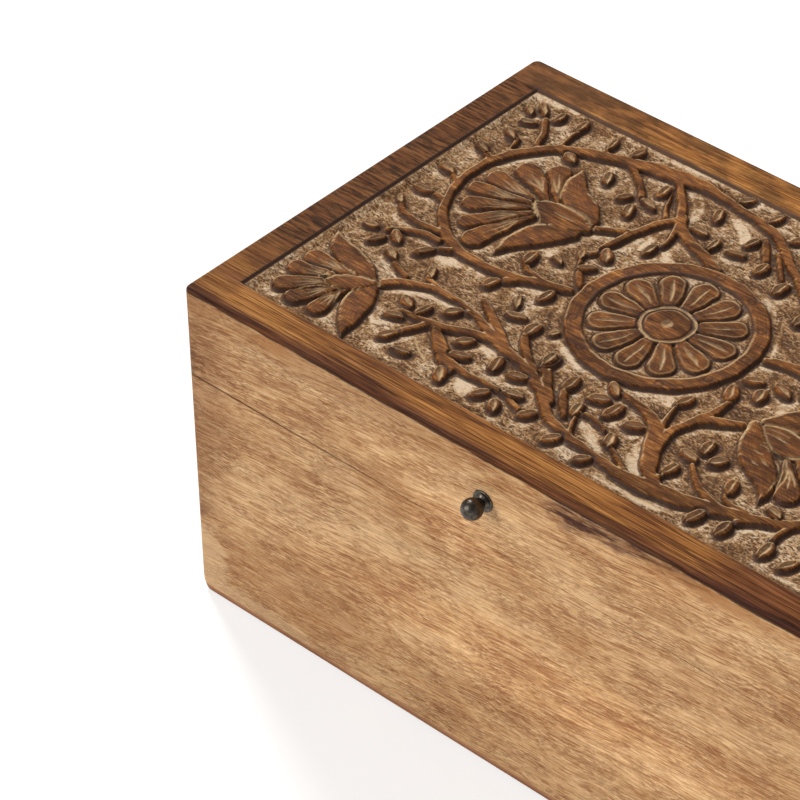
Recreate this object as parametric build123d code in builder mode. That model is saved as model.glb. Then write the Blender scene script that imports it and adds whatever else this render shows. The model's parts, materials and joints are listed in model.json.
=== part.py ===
"""Keepsake box: a mango wood case with a hinged lid, a carved lid panel and a small iron knob.

Frame: +X along the length, +Y from the front to the back, +Z up. The origin is the middle of the
underside. Units are millimetres. The case is glued up from boards and sawn into a base and a lid,
which two mortised butt hinges join along the back.
"""

from build123d import *
import os
from math import atan2, degrees, hypot, radians, tan

# ---- Driving dimensions: the case -------------------------------------------------------------
BOX_LENGTH = 300.0
BOX_DEPTH = 203.0
BOX_HEIGHT = 150.0
LID_HEIGHT = 40.6  # from the saw cut to the top
WALL = 10.5  # front, back and side boards
LID_BOARD = 10.8  # the single board on top
BOTTOM_PLY = 3.0
SAW_GAP = 0.3  # left between the two rims by the saw
CORNER_RADIUS = 3.0  # upright corners
TOP_EDGE_RADIUS = 1.4
FOOT_EDGE_RADIUS = 1.8

# ---- Driving dimensions: the back edge and its hinges --------------------------------------------
OPEN_ANGLE = 97.0  # the lid's full opening
STOP_SLACK = 3.0  # angle left between the two bevels at full opening
PIN_INSET = 3.0  # pin line in front of the back face
HINGE_FROM_END = 60.0  # middle of a hinge to the end of the box
LEAF_LENGTH = 32.0
LEAF_WIDTH = 7.0  # from the pin line to the leaf's inner edge
LEAF_THICKNESS = 0.9
BARREL_RADIUS = 1.75
HINGE_PIN_RADIUS = 0.85
PIN_CLEARANCE = 0.05  # radial
KNUCKLE_GAP = 0.3  # along the pin, between two knuckles
PIN_HEAD_RADIUS = 1.4
PIN_HEAD_LENGTH = 0.7
HARDWARE_CLEARANCE = 0.3  # round a barrel, and at the ends of its groove
MORTISE_CLEARANCE = 0.1  # round a leaf's edges
SCREW_SPACING = 20.0
SCREW_FROM_PIN = 4.5
SCREW_RADIUS = 0.95
SCREW_HEAD_RADIUS = 1.85
SCREW_LENGTH = 9.0
SCREW_POINT = 2.0
SCREW_SLOT_WIDTH = 0.5
SCREW_SLOT_DEPTH = 0.35
SCREW_CLEARANCE = 0.06  # radial, in the pilot hole and the countersink

# ---- Driving dimensions: the knob ----------------------------------------------------------------
KNOB_BALL_RADIUS = 4.25
KNOB_BALL_OFFSET = 6.1  # middle of the ball in front of the face
KNOB_NECK_RADIUS = 1.9
ROSETTE_RADIUS = 4.6
ROSETTE_RIM = 0.8
ROSETTE_DOME = 1.3
STEM_RADIUS = 1.5
STEM_CLEARANCE = 0.15  # radial, in the board, the rosette and the washer
THREAD_CLEARANCE = 0.05  # radial, between the plain stem and the nut
WASHER_RADIUS = 3.6
WASHER_THICKNESS = 0.6
NUT_ACROSS_FLATS = 5.5
NUT_HEIGHT = 2.4
STEM_BEYOND_NUT = 0.8

# ---- Driving dimensions: the carved panel ----------------------------------------------------------
BORDER_SIDES = 15.0  # plain border at the two ends
BORDER_FRONT = 17.0
BORDER_BACK = 17.0
GROUND_DEPTH = 2.8  # border top to the carved ground
MOTIF_DROP = 0.3  # motif tops below the border
RING_RADIUS = 38.6
RING_WIDTH = 6.8
PETAL_COUNT = 12
PETAL_ROOT_RADIUS = 8.0  # under the boss
PETAL_TIP_RADIUS = 30.2
PETAL_WIDTH = 11.8
PETAL_DROP = 0.9
BOSS_RIM_RADIUS = 11.2
BOSS_RIM_WIDTH = 1.9
BOSS_BEAD_RADIUS = 2.5
BEAD_COUNT = 12
BEAD_RADIUS = 1.7  # middle of the small circles punched in the ring
BEAD_GROOVE = 0.35
VINE_WIDTH = 4.8
STALK_WIDTH = 3.4
POD_LENGTH = 9.4
POD_WIDTH = 5.8

# ---- Worked out ------------------------------------------------------------------------------------
half_length = BOX_LENGTH / 2
half_depth = BOX_DEPTH / 2
seam_z = BOX_HEIGHT - LID_HEIGHT
base_rim_z = seam_z - SAW_GAP / 2
lid_rim_z = seam_z + SAW_GAP / 2
lid_board_z = BOX_HEIGHT - LID_BOARD
ground_z = BOX_HEIGHT - GROUND_DEPTH
bevel_angle = (OPEN_ANGLE + STOP_SLACK) / 2
pin_y = half_depth - PIN_INSET
hinge_x = half_length - HINGE_FROM_END
hinge_places = {"left": -hinge_x, "right": hinge_x}
knuckle_length = LEAF_LENGTH / 3
barrel_clear = BARREL_RADIUS + HARDWARE_CLEARANCE
groove_length = LEAF_LENGTH + 2 * (PIN_HEAD_LENGTH + HARDWARE_CLEARANCE)
screw_points = [
    (place + side * SCREW_SPACING / 2, pin_y - SCREW_FROM_PIN)
    for place in hinge_places.values()
    for side in (-1, 1)
]
knob_z = BOX_HEIGHT - LID_HEIGHT / 2
front_y = -half_depth
front_inner_y = front_y + WALL

os.makedirs("parts", exist_ok=True)


def finish(piece, name):
    """Label a finished piece and write its STEP file."""
    piece.part.label = name
    export_step(piece.part, f"parts/{name}.step")


# ---- Boards of the case ----------------------------------------------------------------------------
def long_board(low_z, high_z, middle_y):
    """A front or back board: full length, with rounded upright corners on its outer face."""
    outward = 1 if middle_y > 0 else -1
    with BuildPart() as board:
        with BuildSketch(Plane.XY.offset(low_z)):
            with Locations((0, middle_y)):
                Rectangle(BOX_LENGTH, WALL)
        extrude(amount=high_z - low_z)
        outer_edges = board.edges().filter_by(Axis.Z).group_by(Axis.Y)[-1 if outward > 0 else 0]
        fillet(outer_edges, CORNER_RADIUS)
    return board


def side_board(low_z, high_z, middle_x):
    """A side board, held between the front and back boards."""
    with BuildPart() as board:
        with BuildSketch(Plane.XY.offset(low_z)):
            with Locations((middle_x, 0)):
                Rectangle(WALL, BOX_DEPTH - 2 * WALL)
        extrude(amount=high_z - low_z)
    return board


def back_board(low_z, high_z, rim_z, inward):
    """A back board, with its rim edge bevelled and cut for the hinges and their screws.

    inward is -1 for the base, whose wood lies below its rim, and +1 for the lid.
    """
    blank = long_board(low_z, high_z, middle_y)
    beyond = half_depth + 1
    drop = inward * (beyond - pin_y) * tan(radians(bevel_angle))
    mortise_width = LEAF_WIDTH + MORTISE_CLEARANCE
    with BuildPart() as board:
        add(blank.part)
        with BuildSketch(Plane.YZ.offset(-half_length)):
            with BuildLine():
                Polyline((pin_y, rim_z), (beyond, rim_z + drop), (beyond, rim_z - inward),
                         (pin_y, rim_z - inward), close=True)
            make_face()
        extrude(amount=BOX_LENGTH, mode=Mode.SUBTRACT)
        for place in hinge_places.values():
            with Locations((place, pin_y - mortise_width / 2, rim_z + inward * LEAF_THICKNESS / 2)):
                Box(LEAF_LENGTH + 2 * MORTISE_CLEARANCE, mortise_width, LEAF_THICKNESS, mode=Mode.SUBTRACT)
            with Locations(Plane(origin=(place, pin_y, seam_z), z_dir=(1, 0, 0))):
                Cylinder(barrel_clear, groove_length, mode=Mode.SUBTRACT)
        for x, y in screw_points:
            with Locations((x, y, rim_z + inward * (SCREW_LENGTH + SCREW_CLEARANCE) / 2)):
                Cylinder(SCREW_RADIUS + SCREW_CLEARANCE, SCREW_LENGTH + SCREW_CLEARANCE, mode=Mode.SUBTRACT)
    return board


middle_y = half_depth - WALL / 2
middle_x = half_length - WALL / 2

base_front = long_board(BOTTOM_PLY, base_rim_z, -middle_y)
base_back = back_board(BOTTOM_PLY, base_rim_z, base_rim_z, -1)
base_left = side_board(BOTTOM_PLY, base_rim_z, -middle_x)
base_right = side_board(BOTTOM_PLY, base_rim_z, middle_x)

lid_back = back_board(lid_rim_z, lid_board_z, lid_rim_z, 1)
lid_left = side_board(lid_rim_z, lid_board_z, -middle_x)
lid_right = side_board(lid_rim_z, lid_board_z, middle_x)
lid_front_blank = long_board(lid_rim_z, lid_board_z, -middle_y)
with BuildPart() as lid_front:
    add(lid_front_blank.part)
    with Locations(Plane(origin=(0, -middle_y, knob_z), z_dir=(0, 1, 0))):
        Cylinder(STEM_RADIUS + STEM_CLEARANCE, WALL, mode=Mode.SUBTRACT)

with BuildPart() as base_bottom:
    with BuildSketch():
        Rectangle(BOX_LENGTH, BOX_DEPTH)
    extrude(amount=BOTTOM_PLY)
    fillet(base_bottom.edges().filter_by(Axis.Z), CORNER_RADIUS)
    fillet(base_bottom.faces().sort_by(Axis.Z)[0].edges(), FOOT_EDGE_RADIUS)

# ---- The carved panel --------------------------------------------------------------------------------
# The pattern is drawn in millimetres on a panel of this size, and stretched to the real panel. It
# turns onto itself by half a turn, so each list holds one half of it.
DRAWN_LENGTH = 270.0
DRAWN_DEPTH = 169.0
panel_length = BOX_LENGTH - 2 * BORDER_SIDES
panel_depth = BOX_DEPTH - BORDER_FRONT - BORDER_BACK
panel_y = (BORDER_FRONT - BORDER_BACK) / 2
stretch_x = panel_length / DRAWN_LENGTH
stretch_y = panel_depth / DRAWN_DEPTH
motif_height = GROUND_DEPTH - MOTIF_DROP

# The long vine: from the front left flower, along the front and round the right palmette
VINE = [
    (-97, -51), (-90, -44.5), (-80, -40), (-60, -40.4), (-40, -48), (-20, -53.4), (0, -65), (20, -72.2),
    (40, -77), (60, -74.2), (80, -69.6), (98, -61), (110, -50.5), (117.5, -36), (119, -20), (114.5, -5),
    (103, 9), (89, 16.6), (69, 17.2), (49, 10.7), (40, 7.8),
]
STALKS = [
    [(-119, 71), (-114, 64), (-110.5, 56)],
    [(-104, 73), (-103.6, 67), (-103, 61)],
    [(-119, 54), (-116.8, 48), (-114.5, 42)],
    [(-58, 76.5), (-44.5, 66.5), (-35, 53.5), (-23, 45), (-9, 39)],
    [(-36, 56), (-44.5, 38), (-47.8, 20)],
    [(-75, 71.5), (-68, 66), (-57, 56)],
    [(-46, 20), (-50, 12.5), (-41, 1)],
    [(-67, -3), (-55, -9), (-42, -8.6)],
    [(-98, -16), (-106, -16.8), (-116, -23)],
    [(-102.5, -36), (-98, -38.6), (-92, -41)],
    [(-60, -32.5), (-49, -40), (-36, -48)],
    [(-35, -38.5), (-28, -45.5), (-19, -52)],
    [(-18.4, -47.3), (-11, -54.5), (-3, -62)],
    [(-40, -48.4), (-56, -52.8), (-70, -56.8), (-79, -57.4)],
    [(-61.5, -57.5), (-50, -67), (-43, -74.5)],
    [(-46, -69), (-28, -69.3), (-6, -73)],
]
# Pods: middle x, middle y, and the angle of the long axis
PODS = [
    (-128.5, 72.5, -35), (-124.5, 76.8, -42), (-115.5, 76, 85), (-123.5, 66, 22), (-105, 77, 88),
    (-88.2, 76, 95), (-76.5, 77.5, 72), (-123.5, 55.5, -32), (-126.2, 41.3, -22), (-126.8, 21.5, -8),
    (-124.8, 5, 8), (-127.3, -5.5, -45), (-94.8, 58, -30), (-75, 57.5, -62), (-53.3, 64.5, 90),
    (-62.6, 52, 58), (-52.5, 54.3, -14), (-55.5, 46, -65), (-27.5, 66, -70), (-27, 53.8, 4),
    (-17.4, 50.3, 95), (-7.8, 51.6, 12), (-7, 61, 84), (5.7, 50.3, 92), (18.6, 45.3, 88),
    (-25, 79.5, 52), (-9.4, 79, 68), (-33.6, 32.3, 84), (-43.6, 18.5, -55), (-44.2, 7.6, 36),
    (-64.2, -1.5, 92), (-56, 4.5, -28), (-124, -25.3, 18), (-111.3, -24.6, -38), (-116.4, -30.8, 66),
    (-97.5, -24.7, 52), (-65.2, -23, 72), (-105.5, -34, -32), (-86.2, -32.5, -55), (-44.3, -15.6, 82),
    (-50, -25, -62), (-44.8, -32, 14), (-35, -34, 88), (-64, -45.8, 52), (-81.3, -52, -32),
    (-73, -51.8, 78), (-79.5, -61.5, 20), (-73.5, -71.5, 58), (-63.5, -75.5, 16), (-49, -56, 48),
    (-45, -63.3, 14), (-31.5, -58.5, -76), (-21, -58.7, 14), (-15.2, -67.6, 18), (-4.5, -72.8, 52),
    (-25, -75, 60), (-16.6, -77, -52), (-43.3, -76.3, -52),
]
# Petals of the palmette and of the corner flower: root, tip and width
FLOWER_PETALS = [
    ((-62, 32), (-84, 53), 11.5), ((-60, 26.3), (-87.5, 27), 12), ((-64, 20), (-78, -6), 11.5),
    ((-80, 33), (-95, 51.5), 10), ((-83, 30.5), (-106, 43), 11), ((-86, 27.5), (-112.5, 30), 9.5),
    ((-86, 25.5), (-114, 18.5), 8.5), ((-84, 23.5), (-108.5, 8), 9), ((-82, 21.5), (-99.5, -2), 8.5),
    ((-80.5, 20), (-89.5, -10), 10.5), ((-99, -50.5), (-130, -37.5), 10), ((-98, -52), (-89, -80), 11.5),
    ((-99, -53), (-114, -63), 9), ((-107, -53), (-130, -54.5), 8.5), ((-108, -57), (-131, -64.5), 8),
    ((-108, -60), (-127, -77), 9), ((-106, -62), (-115.5, -81), 9.5), ((-103.5, -63), (-104.5, -81), 8.5),
]


def on_panel(x, y):
    """A point of the drawn pattern, on the real panel."""
    return (x * stretch_x, panel_y + y * stretch_y)


def stroke(points, width):
    """A stem of constant width through the points, drawn in the sketch being built."""
    with BuildLine(mode=Mode.PRIVATE) as route:
        Spline(*[on_panel(*point) for point in points])
    trace(route.line, width)


def petal(root, tip, width):
    """A flower petal, drawn in the sketch being built."""
    (root_x, root_y), (tip_x, tip_y) = on_panel(*root), on_panel(*tip)
    reach = hypot(tip_x - root_x, tip_y - root_y)
    turn = degrees(atan2(tip_y - root_y, tip_x - root_x))
    with Locations(Location(((root_x + tip_x) / 2, (root_y + tip_y) / 2), turn)):
        Ellipse(reach / 2, width / 2)


def half_pattern():
    """One half of the foliage: the vine, the stalks, the pods and the flowers."""
    with BuildSketch(Plane.XY.offset(ground_z)) as half:
        stroke(VINE, VINE_WIDTH)
        for points in STALKS:
            stroke(points, STALK_WIDTH)
        for x, y, turn in PODS:
            with Locations(Location(on_panel(x, y), turn)):
                Ellipse(POD_LENGTH / 2, POD_WIDTH / 2)
        for root, tip, width in FLOWER_PETALS:
            petal(root, tip, width)
    return half.sketch


with BuildPart() as lid_top:
    with BuildSketch(Plane.XY.offset(lid_board_z)):
        Rectangle(BOX_LENGTH, BOX_DEPTH)
    extrude(amount=LID_BOARD)
    fillet(lid_top.edges().filter_by(Axis.Z), CORNER_RADIUS)
    fillet(lid_top.faces().sort_by(Axis.Z)[-1].edges(), TOP_EDGE_RADIUS)
    with BuildSketch(Plane.XY.offset(BOX_HEIGHT)):
        with Locations((0, panel_y)):
            Rectangle(panel_length, panel_depth)
    extrude(amount=-GROUND_DEPTH, mode=Mode.SUBTRACT)
    foliage = half_pattern()
    with BuildSketch(Plane.XY.offset(ground_z)):
        add(foliage)
        add(foliage.rotate(Axis((0, panel_y, 0), (0, 0, 1)), 180))
        with Locations((0, panel_y)):
            Circle(RING_RADIUS)
            Circle(RING_RADIUS - RING_WIDTH, mode=Mode.SUBTRACT)
    extrude(amount=motif_height)
    # The medallion's flower, its boss and the small beads punched round the ring
    with BuildSketch(Plane.XY.offset(ground_z)):
        with Locations((0, panel_y)):
            Circle(BOSS_RIM_RADIUS)
            with PolarLocations((PETAL_ROOT_RADIUS + PETAL_TIP_RADIUS) / 2, PETAL_COUNT):
                Ellipse((PETAL_TIP_RADIUS - PETAL_ROOT_RADIUS) / 2, PETAL_WIDTH / 2)
    extrude(amount=motif_height - PETAL_DROP)
    with BuildSketch(Plane.XY.offset(ground_z)):
        with Locations((0, panel_y)):
            Circle(BOSS_RIM_RADIUS)
            Circle(BOSS_RIM_RADIUS - BOSS_RIM_WIDTH, mode=Mode.SUBTRACT)
            Circle(BOSS_BEAD_RADIUS)
    extrude(amount=motif_height)
    with Locations((0, panel_y, ground_z + motif_height)):
        with PolarLocations(RING_RADIUS - RING_WIDTH / 2, BEAD_COUNT):
            Torus(BEAD_RADIUS, BEAD_GROOVE, mode=Mode.SUBTRACT)

# ---- The hinges ----------------------------------------------------------------------------------------
def leaf(place, inward, knuckle_middles, length_each):
    """A hinge leaf in its rim, with its knuckles round the pin."""
    plate_z = seam_z + inward * (SAW_GAP + LEAF_THICKNESS) / 2
    plate_width = LEAF_WIDTH - barrel_clear
    with BuildPart() as hinge_leaf:
        with Locations((place, pin_y - barrel_clear - plate_width / 2, plate_z)):
            Box(LEAF_LENGTH, plate_width, LEAF_THICKNESS)
        for middle in knuckle_middles:
            with Locations((place + middle, pin_y - barrel_clear / 2, plate_z)):
                Box(length_each, barrel_clear, LEAF_THICKNESS)
            with Locations(Plane(origin=(place + middle, pin_y, seam_z), z_dir=(1, 0, 0))):
                Cylinder(BARREL_RADIUS, length_each)
        with Locations(Plane(origin=(place, pin_y, seam_z), z_dir=(1, 0, 0))):
            Cylinder(HINGE_PIN_RADIUS + PIN_CLEARANCE, LEAF_LENGTH, mode=Mode.SUBTRACT)
        with Locations(Plane(origin=(place, pin_y - SCREW_FROM_PIN, seam_z + inward * SAW_GAP / 2),
                             z_dir=(0, 0, -inward))):
            with Locations((-SCREW_SPACING / 2, 0), (SCREW_SPACING / 2, 0)):
                CounterSinkHole(SCREW_RADIUS + SCREW_CLEARANCE, SCREW_HEAD_RADIUS + SCREW_CLEARANCE,
                                LEAF_THICKNESS, 90)
    return hinge_leaf


def hinge_pin(place):
    """A hinge pin with a riveted head at each end."""
    with BuildPart() as pin:
        with Locations(Plane(origin=(place, pin_y, seam_z), z_dir=(1, 0, 0))):
            Cylinder(HINGE_PIN_RADIUS, LEAF_LENGTH)
        for side in (-1, 1):
            head_x = place + side * (LEAF_LENGTH + PIN_HEAD_LENGTH) / 2
            with Locations(Plane(origin=(head_x, pin_y, seam_z), z_dir=(1, 0, 0))):
                Cylinder(PIN_HEAD_RADIUS, PIN_HEAD_LENGTH)
    return pin


def leaf_screws(inward):
    """The countersunk screws of the leaves on one rim, each a separate solid."""
    head_cone = SCREW_HEAD_RADIUS - SCREW_RADIUS
    with BuildPart(mode=Mode.PRIVATE) as screw:
        with BuildSketch(Plane.XZ):
            with BuildLine():
                Polyline((0, 0), (SCREW_HEAD_RADIUS, 0), (SCREW_RADIUS, -head_cone),
                         (SCREW_RADIUS, SCREW_POINT - SCREW_LENGTH), (0, -SCREW_LENGTH), close=True)
            make_face()
        revolve(axis=Axis.Z)
        with Locations((0, 0, -SCREW_SLOT_DEPTH / 2)):
            Box(2 * SCREW_HEAD_RADIUS, SCREW_SLOT_WIDTH, SCREW_SLOT_DEPTH, mode=Mode.SUBTRACT)
    with BuildPart() as screws:
        for x, y in screw_points:
            with Locations(Plane(origin=(x, y, seam_z + inward * SAW_GAP / 2), z_dir=(0, 0, -inward))):
                add(screw.part)
    return screws


lid_knuckle = [0]
base_knuckles = [-knuckle_length, knuckle_length]
for side, place in hinge_places.items():
    finish(leaf(place, -1, base_knuckles, knuckle_length), f"hinge_base_leaf_{side}")
    finish(leaf(place, 1, lid_knuckle, knuckle_length - 2 * KNUCKLE_GAP), f"hinge_lid_leaf_{side}")
    finish(hinge_pin(place), f"hinge_pin_{side}")
finish(leaf_screws(-1), "hinge_screws_base")
finish(leaf_screws(1), "hinge_screws_lid")

# ---- The knob --------------------------------------------------------------------------------------------
knob_plane = Plane(origin=(0, front_y, knob_z), x_dir=(1, 0, 0), z_dir=(0, -1, 0))
inner_plane = Plane(origin=(0, front_inner_y, knob_z), x_dir=(1, 0, 0), z_dir=(0, 1, 0))
stem_inside = WASHER_THICKNESS + NUT_HEIGHT + STEM_BEYOND_NUT
rosette_height = ROSETTE_RIM + ROSETTE_DOME

with BuildPart() as knob:
    with BuildSketch(Plane.XZ.offset(-front_y)) as knob_stem:
        with Locations((0, knob_z)):
            Circle(STEM_RADIUS)
    extrude(amount=rosette_height)
    extrude(knob_stem.sketch, amount=-(WALL + stem_inside))
    with Locations(knob_plane.offset(rosette_height)):
        Cylinder(KNOB_NECK_RADIUS, KNOB_BALL_OFFSET - rosette_height,
                 align=(Align.CENTER, Align.CENTER, Align.MIN))
    with Locations(knob_plane.offset(KNOB_BALL_OFFSET)):
        Sphere(KNOB_BALL_RADIUS)

with BuildPart() as knob_rosette:
    with BuildSketch(Plane.YZ):
        with BuildLine():
            Line((front_y, knob_z), (front_y, knob_z + ROSETTE_RADIUS))
            Line((front_y, knob_z + ROSETTE_RADIUS), (front_y - ROSETTE_RIM, knob_z + ROSETTE_RADIUS))
            ThreePointArc((front_y - ROSETTE_RIM, knob_z + ROSETTE_RADIUS),
                          (front_y - ROSETTE_RIM - 0.75 * ROSETTE_DOME, knob_z + ROSETTE_RADIUS / 2),
                          (front_y - rosette_height, knob_z))
            Line((front_y - rosette_height, knob_z), (front_y, knob_z))
        make_face()
    revolve(axis=Axis((0, 0, knob_z), (0, 1, 0)))
    with Locations(knob_plane):
        Cylinder(STEM_RADIUS + STEM_CLEARANCE, 2 * rosette_height, mode=Mode.SUBTRACT)

with BuildPart() as knob_washer:
    with BuildSketch(inner_plane):
        Circle(WASHER_RADIUS)
        Circle(STEM_RADIUS + STEM_CLEARANCE, mode=Mode.SUBTRACT)
    extrude(amount=WASHER_THICKNESS)

with BuildPart() as knob_nut:
    with BuildSketch(inner_plane.offset(WASHER_THICKNESS)):
        RegularPolygon(NUT_ACROSS_FLATS / 2, 6, major_radius=False)
        Circle(STEM_RADIUS + THREAD_CLEARANCE, mode=Mode.SUBTRACT)
    extrude(amount=NUT_HEIGHT)

pieces = {
    "base_bottom": base_bottom, "base_front": base_front, "base_back": base_back, "base_left": base_left,
    "base_right": base_right, "lid_front": lid_front, "lid_back": lid_back, "lid_left": lid_left,
    "lid_right": lid_right, "lid_top": lid_top, "knob": knob, "knob_rosette": knob_rosette,
    "knob_washer": knob_washer, "knob_nut": knob_nut,
}
for name, piece in pieces.items():
    finish(piece, name)
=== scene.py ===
"""A keepsake box of mango wood: bare flecked boards, a stained and carved lid, and an iron knob.

The boards, hinges and screws keep their made shapes and get their finishes here. The lid's top board
is built again with its carving, the knob and its rosette are turned again, and the base's front board
and bottom are built again with a worn corner. Sizes are in millimetres in the classes and in metres on
the meshes.
"""

from __future__ import annotations

import json
import logging
import math
from dataclasses import dataclass, field
from enum import Enum
from typing import Sequence

import bmesh
import bpy
import numpy as np
from mathutils import Matrix, Vector

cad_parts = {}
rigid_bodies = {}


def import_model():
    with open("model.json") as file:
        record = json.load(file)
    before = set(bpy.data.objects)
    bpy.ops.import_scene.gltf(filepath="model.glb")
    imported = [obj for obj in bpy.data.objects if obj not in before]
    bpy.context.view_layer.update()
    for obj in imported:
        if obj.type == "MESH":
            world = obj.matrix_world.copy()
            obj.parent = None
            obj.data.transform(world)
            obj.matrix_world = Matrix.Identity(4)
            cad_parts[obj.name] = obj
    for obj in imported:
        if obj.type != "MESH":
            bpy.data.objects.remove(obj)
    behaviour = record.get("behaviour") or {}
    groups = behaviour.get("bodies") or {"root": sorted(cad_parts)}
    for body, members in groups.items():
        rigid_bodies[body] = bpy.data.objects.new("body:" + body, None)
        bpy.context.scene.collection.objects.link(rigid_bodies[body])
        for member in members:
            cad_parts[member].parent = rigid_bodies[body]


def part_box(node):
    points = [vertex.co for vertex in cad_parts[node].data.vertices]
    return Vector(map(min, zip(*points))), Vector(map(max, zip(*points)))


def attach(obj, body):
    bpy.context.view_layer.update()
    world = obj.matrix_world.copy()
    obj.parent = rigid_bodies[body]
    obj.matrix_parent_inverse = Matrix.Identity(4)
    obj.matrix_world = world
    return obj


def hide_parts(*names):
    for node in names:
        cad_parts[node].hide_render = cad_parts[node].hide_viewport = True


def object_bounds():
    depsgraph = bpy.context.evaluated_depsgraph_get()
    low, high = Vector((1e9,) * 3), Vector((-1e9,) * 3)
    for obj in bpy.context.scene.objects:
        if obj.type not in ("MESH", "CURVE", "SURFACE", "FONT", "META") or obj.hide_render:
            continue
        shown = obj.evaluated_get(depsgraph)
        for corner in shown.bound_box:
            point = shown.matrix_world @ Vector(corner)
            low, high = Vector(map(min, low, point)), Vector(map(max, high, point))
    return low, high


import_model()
for leftover in [thing for thing in bpy.data.objects if thing.name in ("Cube", "Camera", "Light")]:
    bpy.data.objects.remove(leftover)
CAD_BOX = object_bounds()

LOG = logging.getLogger("keepsake_box")
MM = 0.001

Socket = bpy.types.NodeSocket
Input = float | Sequence[float] | Socket
Inputs = dict[int | str, Input]
Triple = tuple[float, float, float]
Colour = Triple
Point = tuple[float, ...]
Stroke = tuple[Point, ...]

ZERO: Triple = (0, 0, 0)
EVEN: Triple = (1, 1, 1)


def in_mm(metres: float) -> float:
    """Give a place of the frame in millimetres."""
    return round(metres / MM, 2)


FACE = in_mm(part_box("base_front")[0][1])
SAW_LINE = (in_mm(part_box("base_front")[1][2]) + in_mm(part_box("lid_front")[0][2])) / 2
TOP = in_mm(CAD_BOX[1][2])
HALF_LENGTH = in_mm(CAD_BOX[1][0])


# ---- Shader graphs -----------------------------------------------------------------------------------


class Grain(Enum):
    """Which way the fibres of a board run, as a turn about Z."""

    ALONG = 0.0
    ACROSS = math.pi / 2


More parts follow.
